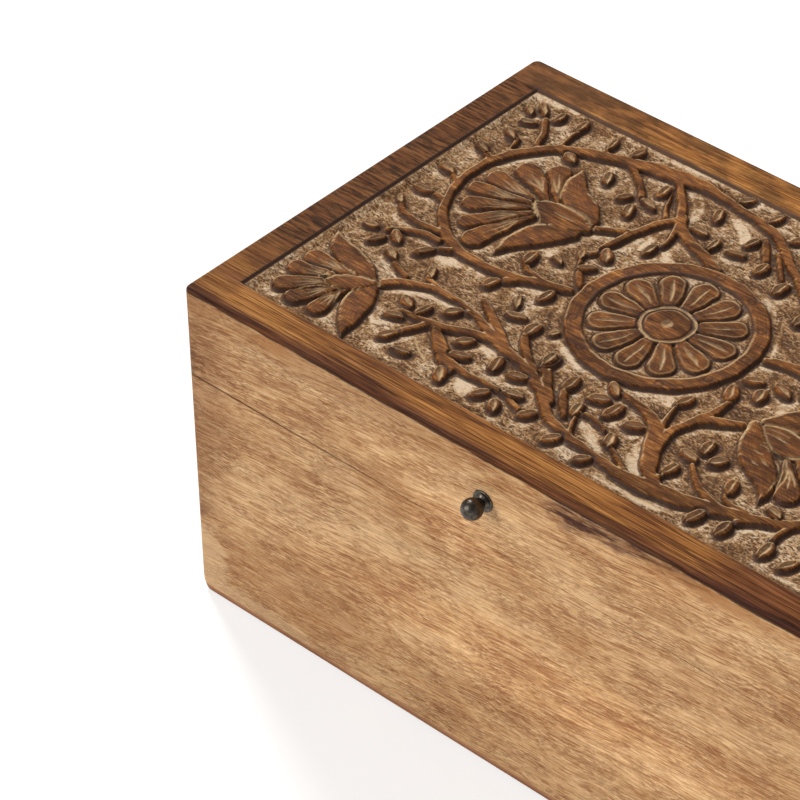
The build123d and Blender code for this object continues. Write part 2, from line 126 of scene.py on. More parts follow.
class Graph:
    """A shader tree, with short names for the nodes that the finishes use."""

    def __init__(self, owner: bpy.types.Material | bpy.types.World) -> None:
        """Start an empty tree.

        Args:
            owner: The material or world that it belongs to.
        """
        self.owner = owner
        self.owner.use_nodes = True
        self.tree = owner.node_tree
        self.tree.nodes.clear()

    def fill(self, socket: Socket, value: Input) -> None:
        """Give an input its value or its link."""
        if isinstance(value, bpy.types.NodeSocket):
            self.tree.links.new(value, socket)
        else:
            socket.default_value = value

    def node(self, kind: str, inputs: Inputs | None = None, **settings: object) -> bpy.types.Node:
        """Add a node.

        Args:
            kind: Blender's name of the node type.
            inputs: A value or a link for each named or numbered input.
            settings: The node's own settings.

        Returns:
            The new node.
        """
        made = self.tree.nodes.new(kind)
        for name, value in settings.items():
            setattr(made, name, value)
        for place, value in (inputs or {}).items():
            self.fill(made.inputs[place], value)
        return made

    def place(self) -> Socket:
        """Give the object's own coordinates in millimetres."""
        here = self.node("ShaderNodeTexCoord").outputs["Object"]
        return self.stretch(here, (1 / MM, 1 / MM, 1 / MM))

    def stretch(self, vector: Socket, scale: Triple, turn: Triple = ZERO, move: Triple = ZERO) -> Socket:
        """Scale, then turn, then move a vector."""
        values: Inputs = {"Vector": vector, "Scale": scale, "Rotation": turn, "Location": move}
        return self.node("ShaderNodeMapping", values).outputs["Vector"]

    def sized(self, vector: Socket, size: Triple) -> Inputs:
        """Give the inputs of a texture whose features have a size, in millimetres, along each axis."""
        return {"Vector": self.stretch(vector, tuple(1.0 / part for part in size)), "Scale": 1.0}

    def math(self, operation: str, *values: Input) -> Socket:
        """Do a sum on one, two or three numbers."""
        return self.node("ShaderNodeMath", dict(enumerate(values)), operation=operation).outputs[0]

    def times(self, first: Input, *others: Input) -> Socket:
        """Multiply numbers."""
        for other in others:
            first = self.math("MULTIPLY", first, other)
        return first

    def plus(self, first: Input, second: Input) -> Socket:
        """Add two numbers."""
        return self.math("ADD", first, second)

    def minus(self, first: Input, second: Input) -> Socket:
        """Take one number from another."""
        return self.math("SUBTRACT", first, second)

    def times_plus(self, value: Input, factor: Input, extra: Input) -> Socket:
        """Multiply two numbers and add a third."""
        return self.math("MULTIPLY_ADD", value, factor, extra)

    def most(self, first: Input, second: Input) -> Socket:
        """Give the greater of two numbers."""
        return self.math("MAXIMUM", first, second)

    def far(self, value: Input, middle: float) -> Socket:
        """Give how far a number is from a middle."""
        return self.math("ABSOLUTE", self.minus(value, middle))

    def xyz(self, vector: Socket) -> tuple[Socket, Socket, Socket]:
        """Split a vector into its three parts."""
        parts = self.node("ShaderNodeSeparateXYZ", {0: vector}).outputs
        return parts[0], parts[1], parts[2]

    def noise(self, vector: Socket, size: Triple, detail: float = 3.0, rough: float = 0.5) -> Socket:
        """Give cloud noise of about 0.3 to 0.7.

        Args:
            vector: Where to read it, in millimetres.
            size: The size of its features along each axis, in millimetres.
            detail: How many finer layers it has.
            rough: How strong the finer layers are.

        Returns:
            The noise value.
        """
        values = {**self.sized(vector, size), "Detail": detail, "Roughness": rough}
        return self.node("ShaderNodeTexNoise", values).outputs[0]

    def cells(self, vector: Socket, size: Triple) -> Socket:
        """Give the distance to the nearest of many scattered points."""
        return self.node("ShaderNodeTexVoronoi", self.sized(vector, size)).outputs[0]

    def drift(self, vector: Socket, size: Triple, amount: Triple) -> Socket:
        """Push a vector about by a soft noise.

        Args:
            vector: What is pushed, in millimetres.
            size: The size of the noise's features along each axis.
            amount: How far it pushes along each axis.

        Returns:
            The pushed vector.
        """
        push = self.node("ShaderNodeTexNoise", self.sized(vector, size)).outputs["Color"]
        sums: Inputs = {0: push, 1: amount, 2: vector}
        return self.node("ShaderNodeVectorMath", sums, operation="MULTIPLY_ADD").outputs[0]

    def step(self, value: Input, low: float, high: float, start: float = 0.0, end: float = 1.0) -> Socket:
        """Run smoothly from one number to another.

        Args:
            value: The number that drives it.
            low: Where it starts.
            high: Where it ends, which may be below low.
            start: What it gives up to there.
            end: What it gives from there on.

        Returns:
            The smooth value.
        """
        if low > high:
            low, high, start, end = high, low, end, start
        values: Inputs = {"Value": value, "From Min": low, "From Max": high, "To Min": start, "To Max": end}
        return self.node("ShaderNodeMapRange", values, interpolation_type="SMOOTHSTEP").outputs[0]

    def ramp(self, value: Socket, *stops: tuple[float, Colour]) -> Socket:
        """Give a colour for a number.

        Args:
            value: The number, from 0 to 1.
            stops: Places on the ramp and their colours.

        Returns:
            The colour.
        """
        made = self.node("ShaderNodeValToRGB", {0: value})
        elements = made.color_ramp.elements
        while len(elements) < len(stops):
            elements.new(0.5)
        for element, (place, colour) in zip(elements, stops):
            element.position = place
            element.color = (*colour, 1.0)
        return made.outputs[0]

    def mix(self, amount: Input, below: Input, above: Input, blend: str = "MIX") -> Socket:
        """Mix two colours, or lay one over the other with a blend mode.

        Args:
            amount: How much of the second one shows.
            below: The first colour.
            above: The second colour.
            blend: Blender's name of the blend mode.

        Returns:
            The mixed colour.
        """
        made = self.node("ShaderNodeMix", {0: amount}, data_type="RGBA", blend_type=blend)
        for place, value in ((6, below), (7, above)):
            self.fill(made.inputs[place], (*value, 1.0) if isinstance(value, tuple) else value)
        return made.outputs[2]

    def shade(self, colour: Socket, amount: Input) -> Socket:
        """Multiply a colour by a number."""
        return self.node("ShaderNodeVectorMath", {0: colour, "Scale": amount}, operation="SCALE").outputs[0]

    def attribute(self, name: str, output: str = "Fac") -> Socket:
        """Read an attribute that the mesh carries."""
        return self.node("ShaderNodeAttribute", attribute_name=name).outputs[output]

    def bump(self, height: Socket, depth: float) -> Socket:
        """Tilt the normal by a height map; depth is its full height in millimetres."""
        values: Inputs = {"Height": height, "Distance": depth * MM, "Strength": 1.0}
        return self.node("ShaderNodeBump", values).outputs[0]

    def close(
        self, colour: Socket, rough: Input, normal: Socket, metal: float = 0.0, gloss: float = 0.5
    ) -> bpy.types.Material:
        """Finish the tree with its surface shader.

        Args:
            colour: The base colour.
            rough: The roughness.
            normal: The bumped normal.
            metal: 1 for bare metal.
            gloss: The specular level.

        Returns:
            The finished material.
        """
        values: Inputs = {"Base Color": colour, "Roughness": rough, "Normal": normal}
        surface = self.node("ShaderNodeBsdfPrincipled", values)
        surface.inputs["Metallic"].default_value = metal
        surface.inputs["Specular IOR Level"].default_value = gloss
        self.node("ShaderNodeOutputMaterial", {0: surface.outputs[0]})
        return self.owner


# ---- Finishes ----------------------------------------------------------------------------------------


@dataclass(frozen=True)
class BareMango:
    """Sanded mango boards without a stain: pale tan with short dark flecks and brown clouds.

    The patches of the front face each hold a middle x and z, half a length, half a height and a strength.

    Attributes:
        tilt: How steeply the fibres rise along a board.
        outside: Whether the boards have the stains and the burnt arris of the outside.
        bleached: The paler patches.
        dimmed: The darker patches.
        browned: The brown patches.
        smoked: The patches of smear under the arris and at the left end.
        sappy: The patches of sapwood, whose last number is the softness of the rim instead.
    """

    name: str = "bare_mango"
    grain: Grain = Grain.ALONG
    tilt: float = math.radians(5.0)
    outside: bool = True
    pale: Colour = (0.785, 0.500, 0.252)
    tan: Colour = (0.57, 0.310, 0.129)
    brown: Colour = (0.36, 0.155, 0.058)
    dark: Colour = (0.235, 0.078, 0.034)
    dim: Colour = (0.62, 0.53, 0.48)
    blot: Colour = (0.39, 0.160, 0.050)
    smoke: Colour = (0.30, 0.235, 0.27)
    sapwood: Colour = (0.80, 0.54, 0.30)
    joint_gap_shade: Colour = (0.15, 0.055, 0.02)
    burnt: Colour = (0.035, 0.02, 0.015)
    bleached: tuple[Point, ...] = (
        (-20, 126, 42, 11, 0.14), (75, 66, 95, 62, 0.13), (28, 56, 115, 17, 0.20), (-18, 108, 26, 9, 0.20),
        (80, 135, 60, 7, 0.10),
    )
    dimmed: tuple[Point, ...] = (
        (-60, 4, 90, 10, 0.15), (-85, 145, 74, 7, 0.72), (-151, 92, 20, 60, 0.85), (105, 100, 60, 14, 0.20),
    )
    browned: tuple[Point, ...] = (
        (-92, 28, 40, 15, 0.42), (-45, 110, 16, 9, 0.35), (42, 86, 9, 7, 0.35), (-103, 146, 9, 3.5, 0.6),
        (-125, 100, 16, 12, 0.2), (100, 145.5, 34, 3.5, 0.65),
    )
    smoked: tuple[Point, ...] = (
        (52, 145, 22, 4.5, 1.0), (40, 141.5, 10, 4, 0.9), (66, 147, 34, 2.6, 0.8), (-148, 115, 3, 6, 0.5),
        (-148, 43, 3, 6, 0.45),
    )
    sappy: tuple[Point, ...] = ((-146, 17, 11, 17, 0.15), (-118, 4, 30, 6, 0.25))

    def tint(self, g: Graph) -> tuple[Socket, Socket]:
        """Draw the wood's colour.

        Args:
            g: The graph to draw in.

        Returns:
            The colour, and a height from 0 to 1 for its pores.
        """
        fibres = g.stretch(g.place(), EVEN, (0, self.tilt, self.grain.value))
        bent = g.drift(fibres, (60, 45, 45), (4.0, 7.0, 7.0))
        broad = g.noise(bent, (80, 24, 24), 3, 0.5)
        mottle = g.noise(bent, (9, 2.8, 2.8), 5, 0.80)
        streak = g.noise(bent, (34, 0.62, 0.62), 4, 0.65)
        tone = g.times_plus(mottle, 0.37, g.times_plus(broad, 0.27, g.times(streak, 0.36)))
        colour = g.ramp(tone, (0.417, self.brown), (0.482, self.tan), (0.558, self.pale))
        crowd = g.step(g.noise(bent, (26, 10, 10), 4, 0.65), 0.42, 0.58, 0.12, 1.0)
        flecks = g.step(g.noise(bent, (3.4, 0.48, 0.48), 2, 0.6), 0.49, 0.57)
        hairs = g.step(g.noise(bent, (22, 0.46, 0.46), 2, 0.6), 0.53, 0.60, 0.0, 0.75)
        pores = g.most(g.times(flecks, crowd), hairs)
        colour = g.mix(g.times(pores, 0.62), colour, self.dark)
        shine = g.step(g.noise(bent, (14, 0.5, 0.5), 2, 0.6), 0.46, 0.38)
        colour = g.mix(g.times(shine, 0.5), colour, self.pale)
        return colour, g.minus(1.0, pores)

    def patched(self, g: Graph, colour: Socket, tilted: Socket, wander: Socket) -> Socket:
        """Lay the patches of the front face over the wood.

        Args:
            g: The graph to draw in.
            colour: The wood's colour.
            tilted: The place, turned as the fibres are.
            wander: How far the rims of the patches stray, in millimetres.

        Returns:
            The patched colour.
        """
        x, y, z = g.xyz(g.place())
        front = g.step(y, FACE + 5.5, FACE + 2.5)

        def patch(middle_x: float, middle_z: float, long: float, high: float, soft: float = 0.6) -> Socket:
            """Give a cloud with a ragged rim on the front face.

            Args:
                middle_x: Its middle.
                middle_z: Its middle.
                long: Half its length.
                high: Half its height.
                soft: The width of its soft rim, as a part of its size.

            Returns:
                How much of the cloud there is, from 0 to 1.
            """
            dx = g.math("DIVIDE", g.plus(g.minus(x, middle_x), wander), long)
            dz = g.math("DIVIDE", g.plus(g.minus(z, middle_z), g.times(wander, 0.5)), high)
            out = g.math("SQRT", g.plus(g.times(dx, dx), g.times(dz, dz)))
            return g.times(g.step(out, 1.0 + soft, 1.0 - soft), front)

        for *spot, amount in self.bleached:
            colour = g.shade(colour, g.times_plus(patch(*spot), amount, 1.0))
        for *spot, amount in self.dimmed:
            colour = g.mix(g.times(patch(*spot), amount), colour, self.dim, "MULTIPLY")
        for *spot, amount in self.browned:
            colour = g.mix(g.times(patch(*spot), amount), colour, self.blot)
        wisps = g.step(g.noise(tilted, (16, 2.2, 2.2), 4, 0.65), 0.40, 0.58, 0.35, 1.0)
        for *spot, amount in self.smoked:
            colour = g.mix(g.times(patch(*spot, 0.35), wisps, amount), colour, self.smoke, "MULTIPLY")
        sap = g.most(*(patch(*spot) for spot in self.sappy))
        return g.mix(g.times(sap, 0.45), colour, self.sapwood)

    def weathered(self, g: Graph, colour: Socket) -> Socket:
        """Lay the patches, the painted shade of the joint's gap and the burnt arris of the outside faces
        over the wood.

        Args:
            g: The graph to draw in.
            colour: The wood's colour.

        Returns:
            The weathered colour.
        """
        here = g.place()
        x, y, z = g.xyz(here)
        tilted = g.stretch(here, EVEN, (0, self.tilt, 0))
        blur = g.noise(here, (9, 9, 5), 4, 0.65)
        ragged = g.noise(tilted, (9, 0.8, 0.8), 3, 0.6)
        wander = g.plus(g.times_plus(blur, 14.0, -7.0), g.times_plus(ragged, 14.0, -7.0))
        colour = self.patched(g, colour, tilted, wander)
        # Painted shade: a dark line along the joint of lid and base, where the gap between them lies in
        # shade, fading to the right.
        fading = g.times(g.step(x, -125.0, -10.0, 1.0, 0.0), g.step(y, FACE + 0.4, FACE + 0.1))
        seam = g.times(g.step(g.far(z, SAW_LINE), 0.8, 0.2), fading)
        colour = g.mix(g.times(seam, g.times_plus(ragged, 0.9, 0.3)), colour, self.joint_gap_shade)
        rubbed = g.minus(z, g.times(g.noise(here, (18, 18, 18), 4), 2.4))
        return g.mix(g.times(g.step(rubbed, TOP - 3.0, TOP - 2.3), 0.93), colour, self.burnt)

    def material(self) -> bpy.types.Material:
        """Make the finish.

        Returns:
            The material.
        """
        g = Graph(bpy.data.materials.new(self.name))
        colour, pores = self.tint(g)
        if self.outside:
            colour = self.weathered(g, colour)
        rough = g.step(pores, 0.0, 1.0, 0.72, 0.52)
        return g.close(colour, rough, g.bump(pores, 0.12), gloss=0.15)


@dataclass(frozen=True)
class StainedMango(BareMango):
    """The lid's top board: bare on its edges, stained golden brown on top, carved and limed.

    Attributes:
        barred: What the stain goes down to at the left, where it is barred.
        clouded: What it goes down to at the back.
        scorched: What the outer half of the front border is dimmed by.
        recess_shade: What its inner half is dimmed by: painted shade beside the sunk panel.
        dull: What its dull stretches are dimmed by.
        arris: The line along its outer edge.
        pit: The deepest tone of the limed ground.
        punch: The punched marks in it.
        motif: The tones of the carved motifs, from dark to bright.
        eased: How far in from the box's sides the top's stain begins.
    """

    name: str = "stained_mango"
    honey: Colour = (0.66, 0.30, 0.080)
    gold: Colour = (0.46, 0.182, 0.038)
    russet: Colour = (0.30, 0.103, 0.020)
    umber: Colour = (0.095, 0.030, 0.008)
    barred: Colour = (0.12, 0.036, 0.012)
    clouded: Colour = (0.20, 0.078, 0.024)
    scorched: Colour = (0.36, 0.27, 0.31)
    recess_shade: Colour = (0.74, 0.68, 0.74)
    dull: Colour = (0.47, 0.38, 0.45)
    arris: Colour = (0.02, 0.012, 0.009)
    soot_and_shade: Colour = (0.085, 0.050, 0.037)
    pit: Colour = (0.10, 0.048, 0.024)
    dust: Colour = (0.20, 0.095, 0.038)
    lime: Colour = (0.41, 0.235, 0.108)
    chalk: Colour = (0.72, 0.54, 0.36)
    punch: Colour = (0.078, 0.038, 0.020)
    fresh_cut_and_highlight: Colour = (0.66, 0.44, 0.225)
    motif: tuple[Colour, ...] = (
        (0.072, 0.028, 0.013), (0.130, 0.046, 0.014), (0.23, 0.083, 0.020), (0.44, 0.20, 0.058),
    )
    eased: float = 1.5

    def stained(self, g: Graph) -> tuple[Socket, Socket]:
        """Draw the stained, close-grained top.

        Args:
            g: The graph to draw in.

        Returns:
            The colour, and a height from 0 to 1 for its fibres.
        """
        bent = g.stretch(g.drift(g.place(), (70, 30, 30), (3.0, 2.5, 2.5)), (1, 1, 0.15))
        streak = g.noise(bent, (46, 0.95, 0.95), 4, 0.65)
        broad = g.noise(bent, (48, 6, 6), 4, 0.6)
        fine = g.noise(bent, (24, 0.38, 0.38), 2, 0.6)
        tone = g.times_plus(fine, 0.36, g.times_plus(streak, 0.32, g.times(broad, 0.34)))
        stops = ((0.40, self.umber), (0.455, self.russet), (0.51, self.gold), (0.60, self.honey))
        lines = g.step(g.noise(bent, (30, 0.40, 0.40), 2, 0.6), 0.55, 0.61)
        colour = g.shade(g.mix(g.times(lines, 0.75), g.ramp(tone, *stops), self.umber), 0.86)
        return self.bordered(g, colour, bent), g.minus(tone, g.times(lines, 0.3))

    def bordered(self, g: Graph, colour: Socket, bent: Socket) -> Socket:
        """Darken the plain border: barred at the left, clouded at the back, scorched at the front, with
        painted shade along the inner edge of the front border.

        Args:
            g: The graph to draw in.
            colour: The stained wood.
            bent: The place, with the fibres' drift.

        Returns:
            The darkened colour.
        """
        here = g.place()
        x, y, _ = g.xyz(here)
        wander = g.times_plus(g.noise(here, (14, 3, 3), 3), 8.0, -4.0)
        left = g.times(g.step(g.plus(x, wander), -130.0, -136.0),
                       g.step(g.plus(y, wander), -88.0, -45.0, 0.4, 1.0))
        bars = g.step(g.noise(bent, (9, 1.6, 1.6), 4, 0.65), 0.38, 0.60, 0.28, 0.95)
        colour = g.mix(left, colour, g.shade(g.mix(0.68, colour, self.barred), bars))
        back = g.step(g.plus(y, wander), 84.0, 88.0)
        rear = g.step(g.plus(x, g.times(wander, 3.0)), -120.0, -60.0, 0.85, 0.2)
        clouds = g.step(g.noise(here, (16, 7, 7), 5, 0.65), 0.38, 0.62, 0.55, 1.25)
        colour = g.mix(back, colour, g.shade(g.mix(rear, colour, self.clouded), clouds))
        edge = g.plus(y, g.times_plus(g.noise(bent, (40, 4, 4), 5, 0.65), 9.0, -4.5))
        edge = g.plus(edge, g.times_plus(g.noise(bent, (60, 1.1, 1.1), 3, 0.6), 11.0, -5.5))
        colour = g.mix(g.step(edge, -93.8, -100.4), colour, self.scorched, "MULTIPLY")
        # Painted shade along the inner half of the front border, beside the sunk panel.
        recess_shade_mask = g.times(g.step(edge, -90.0, -84.5), g.step(y, -80.0, -83.5))
        colour = g.mix(recess_shade_mask, colour, self.recess_shade, "MULTIPLY")
        along = g.plus(x, g.times(wander, 4.0))
        dulled = g.most(g.step(g.math("ABSOLUTE", g.plus(along, 68.0)), 40.0, 6.0, 0.0, 0.55),
                        g.step(along, 76.0, 112.0))
        colour = g.mix(g.times(dulled, g.step(y, -80.0, -86.0)), colour, self.dull, "MULTIPLY")
        return g.mix(g.step(edge, -100.0, -101.4, 0.0, 0.45), colour, self.arris)

    def ground(self, g: Graph) -> tuple[Socket, Socket]:
        """Draw the limed ground between the motifs, with its punched dots and chisel ticks, and painted
        highlights beside the ticks and on the scooped ground.

        Args:
            g: The graph to draw in.

        Returns:
            The colour, and a height from 0 to 1.
        """
        here = g.place()
        shaky = g.drift(here, (2.5, 2.5, 2.5), (1.6, 1.6, 0.0))
        cloud = g.noise(here, (13, 13, 13), 4, 0.6)
        chalk = g.noise(shaky, (3.0, 1.4, 1.3), 4, 0.7)
        fine = g.noise(shaky, (1.1, 0.5, 0.8), 2, 0.7)
        # Painted highlight: the scooped ground in front of the motifs is paler and has fewer marks.
        scoop_highlight = g.times(g.attribute("scoop_highlight"), g.step(cloud, 0.36, 0.50, 0.5, 1.0))
        tone = g.times_plus(fine, 0.28, g.times_plus(cloud, 0.36, g.times(chalk, 0.36)))
        tone = g.times_plus(scoop_highlight, 0.085, tone)
        colour = g.ramp(tone, (0.42, self.pit), (0.47, self.dust), (0.53, self.lime), (0.60, self.chalk))
        crowd = g.step(g.noise(here, (7, 7, 7), 3, 0.6), 0.40, 0.56)
        lean = g.stretch(shaky, EVEN, (0, 0, 0.12))
        ticks = g.step(g.cells(lean, (2.2, 0.85, 1.4)), 0.50, 0.38)
        # Painted highlight: pale marks beside the chisel ticks.
        tick_highlights = g.step(g.cells(g.stretch(lean, EVEN, ZERO, (0.5, -0.4, 0)), (2.2, 0.72, 1.4)), 0.36, 0.26)
        colour = g.mix(g.times(tick_highlights, crowd, 0.35), colour, self.chalk)
        dots = g.step(g.cells(shaky, (1.25, 1.0, 1.2)), 0.42, 0.28)
        marks = g.most(g.times(ticks, crowd), g.times(dots, g.minus(1.0, crowd)))
        marks = g.times(marks, g.times_plus(scoop_highlight, -0.85, 1.0))
        colour = g.mix(g.times(marks, 0.85), colour, self.punch)
        return colour, g.minus(g.times(chalk, 0.5), g.times(marks, 0.5))

    def motifs(self, g: Graph) -> Socket:
        """Draw the stained tops of the motifs, darker lower down as painted shade.

        Args:
            g: The graph to draw in.

        Returns:
            The colour.
        """
        here = g.place()
        x, y, z = g.xyz(here)
        flat = g.stretch(here, (1, 1, 0))
        tone = g.times(g.noise(g.attribute("flow", "Vector"), (0.6, 8.0, 1.0), 3, 0.6), 0.22)
        tone = g.times_plus(g.noise(flat, (8, 3.5, 1), 4, 0.65), 0.38, tone)
        tone = g.times_plus(g.noise(flat, (15, 0.50, 1), 2, 0.6), 0.40, tone)
        tone = g.times_plus(g.attribute("tone"), -0.045, tone)
        colour = g.ramp(tone, *zip((0.39, 0.46, 0.53, 0.61), self.motif))
        patches = g.step(g.noise(flat, (34, 22, 1), 3, 0.6), 0.36, 0.62, 0.72, 1.35)
        heart = g.step(g.minus(x, y), 90.0, 135.0, 1.0, 0.78)
        colour = g.shade(colour, g.times(patches, heart))
        # Painted shade: the motifs darken from their tops down their walls.
        return g.shade(colour, g.step(z, TOP - 1.1, TOP - 0.3, 0.60, 1.0))

    def outlined(self, g: Graph, colour: Socket) -> Socket:
        """Draw the pale cuts, the dark lines, the soot with its painted shadow on the lee side, and the
        painted glints at the feet of the motifs.

        Args:
            g: The graph to draw in.
            colour: The ground and the motifs.

        Returns:
            The colour with the outlines on it.
        """
        here = g.place()
        rub = g.noise(here, (2.2, 2.2, 2.2), 3, 0.6)
        # The cut layer holds pale fresh wood and painted highlights.
        cut = g.times(g.attribute("cut"), g.step(rub, 0.34, 0.6, 0.55, 1.0))
        stain = g.times(g.attribute("stain"), g.step(rub, 0.30, 0.50, 0.82, 1.0))
        ragged = g.times_plus(g.noise(here, (1.5, 1.5, 1.5), 2), 0.7, 3.65)
        near = g.minus(ragged, g.attribute("hug"))
        lee = g.attribute("lee")
        line = g.times(g.step(near, -0.25, -0.05), g.step(near, 0.62, 0.30))
        # Painted shadow: a dark band on the walls and ground on the side of each motif away from the light.
        soot_and_shade = g.times(g.step(near, -0.75, -0.4), g.step(near, 1.3, 0.85), g.step(lee, 0.05, 0.60))
        # Painted glint: a pale line on the rims that face the light.
        lit = g.step(lee, 0.0, -0.7, 0.0, 0.62)
        glint = g.times(g.step(near, -1.4, -1.0), g.step(near, -0.3, -0.5), lit)
        colour = g.mix(glint, g.mix(cut, colour, self.fresh_cut_and_highlight), self.fresh_cut_and_highlight)
        stain = g.most(stain, g.most(g.times(line, 0.82), g.times(soot_and_shade, 0.88)))
        return g.mix(stain, colour, self.soot_and_shade)

    def material(self) -> bpy.types.Material:
        """Make the finish.

        Returns:
            The material.
        """
        g = Graph(bpy.data.materials.new(self.name))
        x, y, z = g.xyz(g.place())
        bare = self.weathered(g, self.tint(g)[0])
        top, fibres = self.stained(g)
        colour = g.mix(g.attribute("carved"), top, self.motifs(g))
        limed, pits = self.ground(g)
        lime = g.attribute("lime")
        colour = self.outlined(g, g.mix(lime, colour, limed))
        beyond = g.most(g.minus(g.math("ABSOLUTE", x), HALF_LENGTH - self.eased),
                        g.minus(g.math("ABSOLUTE", y), -FACE - self.eased))
        brink = g.step(beyond, -0.3, 0.3, TOP - 3.1, TOP - 0.9)
        colour = g.mix(g.step(g.minus(z, brink), 0.0, 0.15), bare, colour)
        rough = g.times_plus(lime, 0.2, 0.55)
        return g.close(colour, rough, g.bump(g.mix(lime, fibres, pits), 0.35), gloss=0.07)


@dataclass(frozen=True)
class Ply:
    """The thin bottom sheet, with its darker core on the edge."""

    name: str = "bottom_ply"
    tones: tuple[Colour, ...] = ((0.27, 0.115, 0.05), (0.40, 0.18, 0.082), (0.50, 0.25, 0.125))
    core: Colour = (0.16, 0.07, 0.035)

    def material(self) -> bpy.types.Material:
        """Make the finish.

        Returns:
            The material.
        """
        g = Graph(bpy.data.materials.new(self.name))
        here = g.place()
        z = g.xyz(here)[2]
        streak = g.noise(here, (40, 2.2, 2.2), 5, 0.6)
        colour = g.ramp(streak, *zip((0.34, 0.52, 0.68), self.tones))
        middle = g.times(g.step(z, 0.9, 1.1), g.step(z, 1.9, 1.7))
        colour = g.mix(g.times(middle, 0.5), colour, self.core)
        return g.close(colour, 0.68, g.bump(streak, 0.12), gloss=0.3)


class Patina(Enum):
    """How far a metal has darkened."""

    IRON = "old_iron"
    STEEL = "screw_steel"


@dataclass(frozen=True)
class Metal:
    """Old iron or steel, mottled dark and bright, with spots of rust."""

    patina: Patina
    dark: Colour
    bright: Colour
    smooth: float
    rust: Colour = (0.10, 0.055, 0.035)

    def material(self) -> bpy.types.Material:
        """Make the finish.

        Returns:
            The material.
        """
        g = Graph(bpy.data.materials.new(self.patina.value))
        here = g.place()
        cloud = g.noise(here, (1.6, 1.6, 1.6), 4, 0.6)
        grit = g.noise(here, (0.35, 0.35, 0.35), 3, 0.6)
        colour = g.ramp(cloud, (0.36, self.dark), (0.64, self.bright))
        rusty = g.step(g.noise(here, (2.4, 2.4, 2.4), 4, 0.65), 0.56, 0.66, 0.0, 0.35)
        colour = g.mix(rusty, colour, self.rust)
        rough = g.step(cloud, 0.3, 0.7, self.smooth + 0.16, self.smooth - 0.04)
        return g.close(colour, rough, g.bump(grit, 0.05), metal=1.0)


@dataclass
class Finishes:
    """Every finish of the box, made once."""

    front: bpy.types.Material = field(init=False)
    side: bpy.types.Material = field(init=False)
    top: bpy.types.Material = field(init=False)
    ply: bpy.types.Material = field(init=False)
    iron: bpy.types.Material = field(init=False)
    steel: bpy.types.Material = field(init=False)

    def __post_init__(self) -> None:
        """Make the materials."""
        self.front = BareMango().material()
        self.side = BareMango(name="bare_mango_ends", grain=Grain.ACROSS, outside=False).material()
        self.top = StainedMango().material()
        self.ply = Ply().material()
        self.iron = Metal(Patina.IRON, (0.050, 0.042, 0.034), (0.125, 0.108, 0.088), 0.30).material()
        self.steel = Metal(Patina.STEEL, (0.20, 0.19, 0.18), (0.42, 0.40, 0.38), 0.34).material()


# ---- Shared steps ------------------------------------------------------------------------------------


def dress(name: str, material: bpy.types.Material) -> None:
    """Give a made part its finish.

    Args:
        name: The part's node.
        material: The finish.
    """
    part = bpy.data.objects[name]
    if not part.material_slots:
        part.data.materials.append(material)
    for slot in part.material_slots:
        slot.material = material
    LOG.info("dressed %s", name)


def new_piece(
    name: str, shape: bmesh.types.BMesh, material: bpy.types.Material, smooth: bool = True
) -> bpy.types.Object:
    """Turn a finished bmesh into an object at the origin.

    Args:
        name: The piece's name.
        shape: The bmesh, in metres, which is freed.
        material: Its finish.
        smooth: Whether its faces are shaded smooth.

    Returns:
        The new object.
    """
    mesh = bpy.data.meshes.new(name)
    shape.to_mesh(mesh)
    shape.free()
    mesh.materials.append(material)
    for polygon in mesh.polygons:
        polygon.use_smooth = smooth
    piece = bpy.data.objects.new(name, mesh)
    bpy.context.scene.collection.objects.link(piece)
    LOG.info("built %s: %d faces", name, len(mesh.polygons))
    return piece


def round_edges(
    shape: bmesh.types.BMesh, edges: Sequence[bmesh.types.BMEdge], radius: float, segments: int
) -> None:
    """Round edges to a radius in millimetres."""
    bmesh.ops.bevel(shape, geom=edges, offset=radius * MM, segments=segments, profile=0.5, affect="EDGES",
                    material=-1)


def rounded_board(
    low: Vector, high: Vector, radius: float, segments: int, rounded_to: float = math.inf
) -> bmesh.types.BMesh:
    """Make a board with rounded upright corners.

    Args:
        low: The board's lowest corner.
        high: Its highest corner.
        radius: The corners' radius, in millimetres.
        segments: How many steps each corner is drawn in.
        rounded_to: Only the corners in front of this are rounded.

    Returns:
        The board.
    """
    shape = bmesh.new()
    bmesh.ops.create_cube(shape, size=1.0)
    bmesh.ops.scale(shape, verts=shape.verts, vec=high - low)
    bmesh.ops.translate(shape, verts=shape.verts, vec=(low + high) / 2)
    corners = [edge for edge in shape.edges
               if abs(edge.verts[0].co.z - edge.verts[1].co.z) > MM and edge.verts[0].co.y < rounded_to]
    round_edges(shape, corners, radius, segments)
    return shape


def level_edges(shape: bmesh.types.BMesh, height: float) -> list[bmesh.types.BMEdge]:
    """Find the edges that lie at a height, in metres."""
    return [edge for edge in shape.edges if all(abs(vert.co.z - height) < 0.01 * MM for vert in edge.verts)]


def only(kind: type, made: Sequence[object]) -> list:
    """Pick the vertices or the edges from what an operator made."""
    return [item for item in made if isinstance(item, kind)]


# ---- The carving -------------------------------------------------------------------------------------

EVERYWHERE = (slice(None), slice(None))
MARGIN = 2.5  # how far round a motif its distances are measured
LEE: tuple[float, float] = (0.74, -0.67)  # the way the shadows fall across the lid
FOREWARD: tuple[float, float] = (0.45, -0.89)  # the way from a motif to the ground that gets the painted highlight of its scooped slope


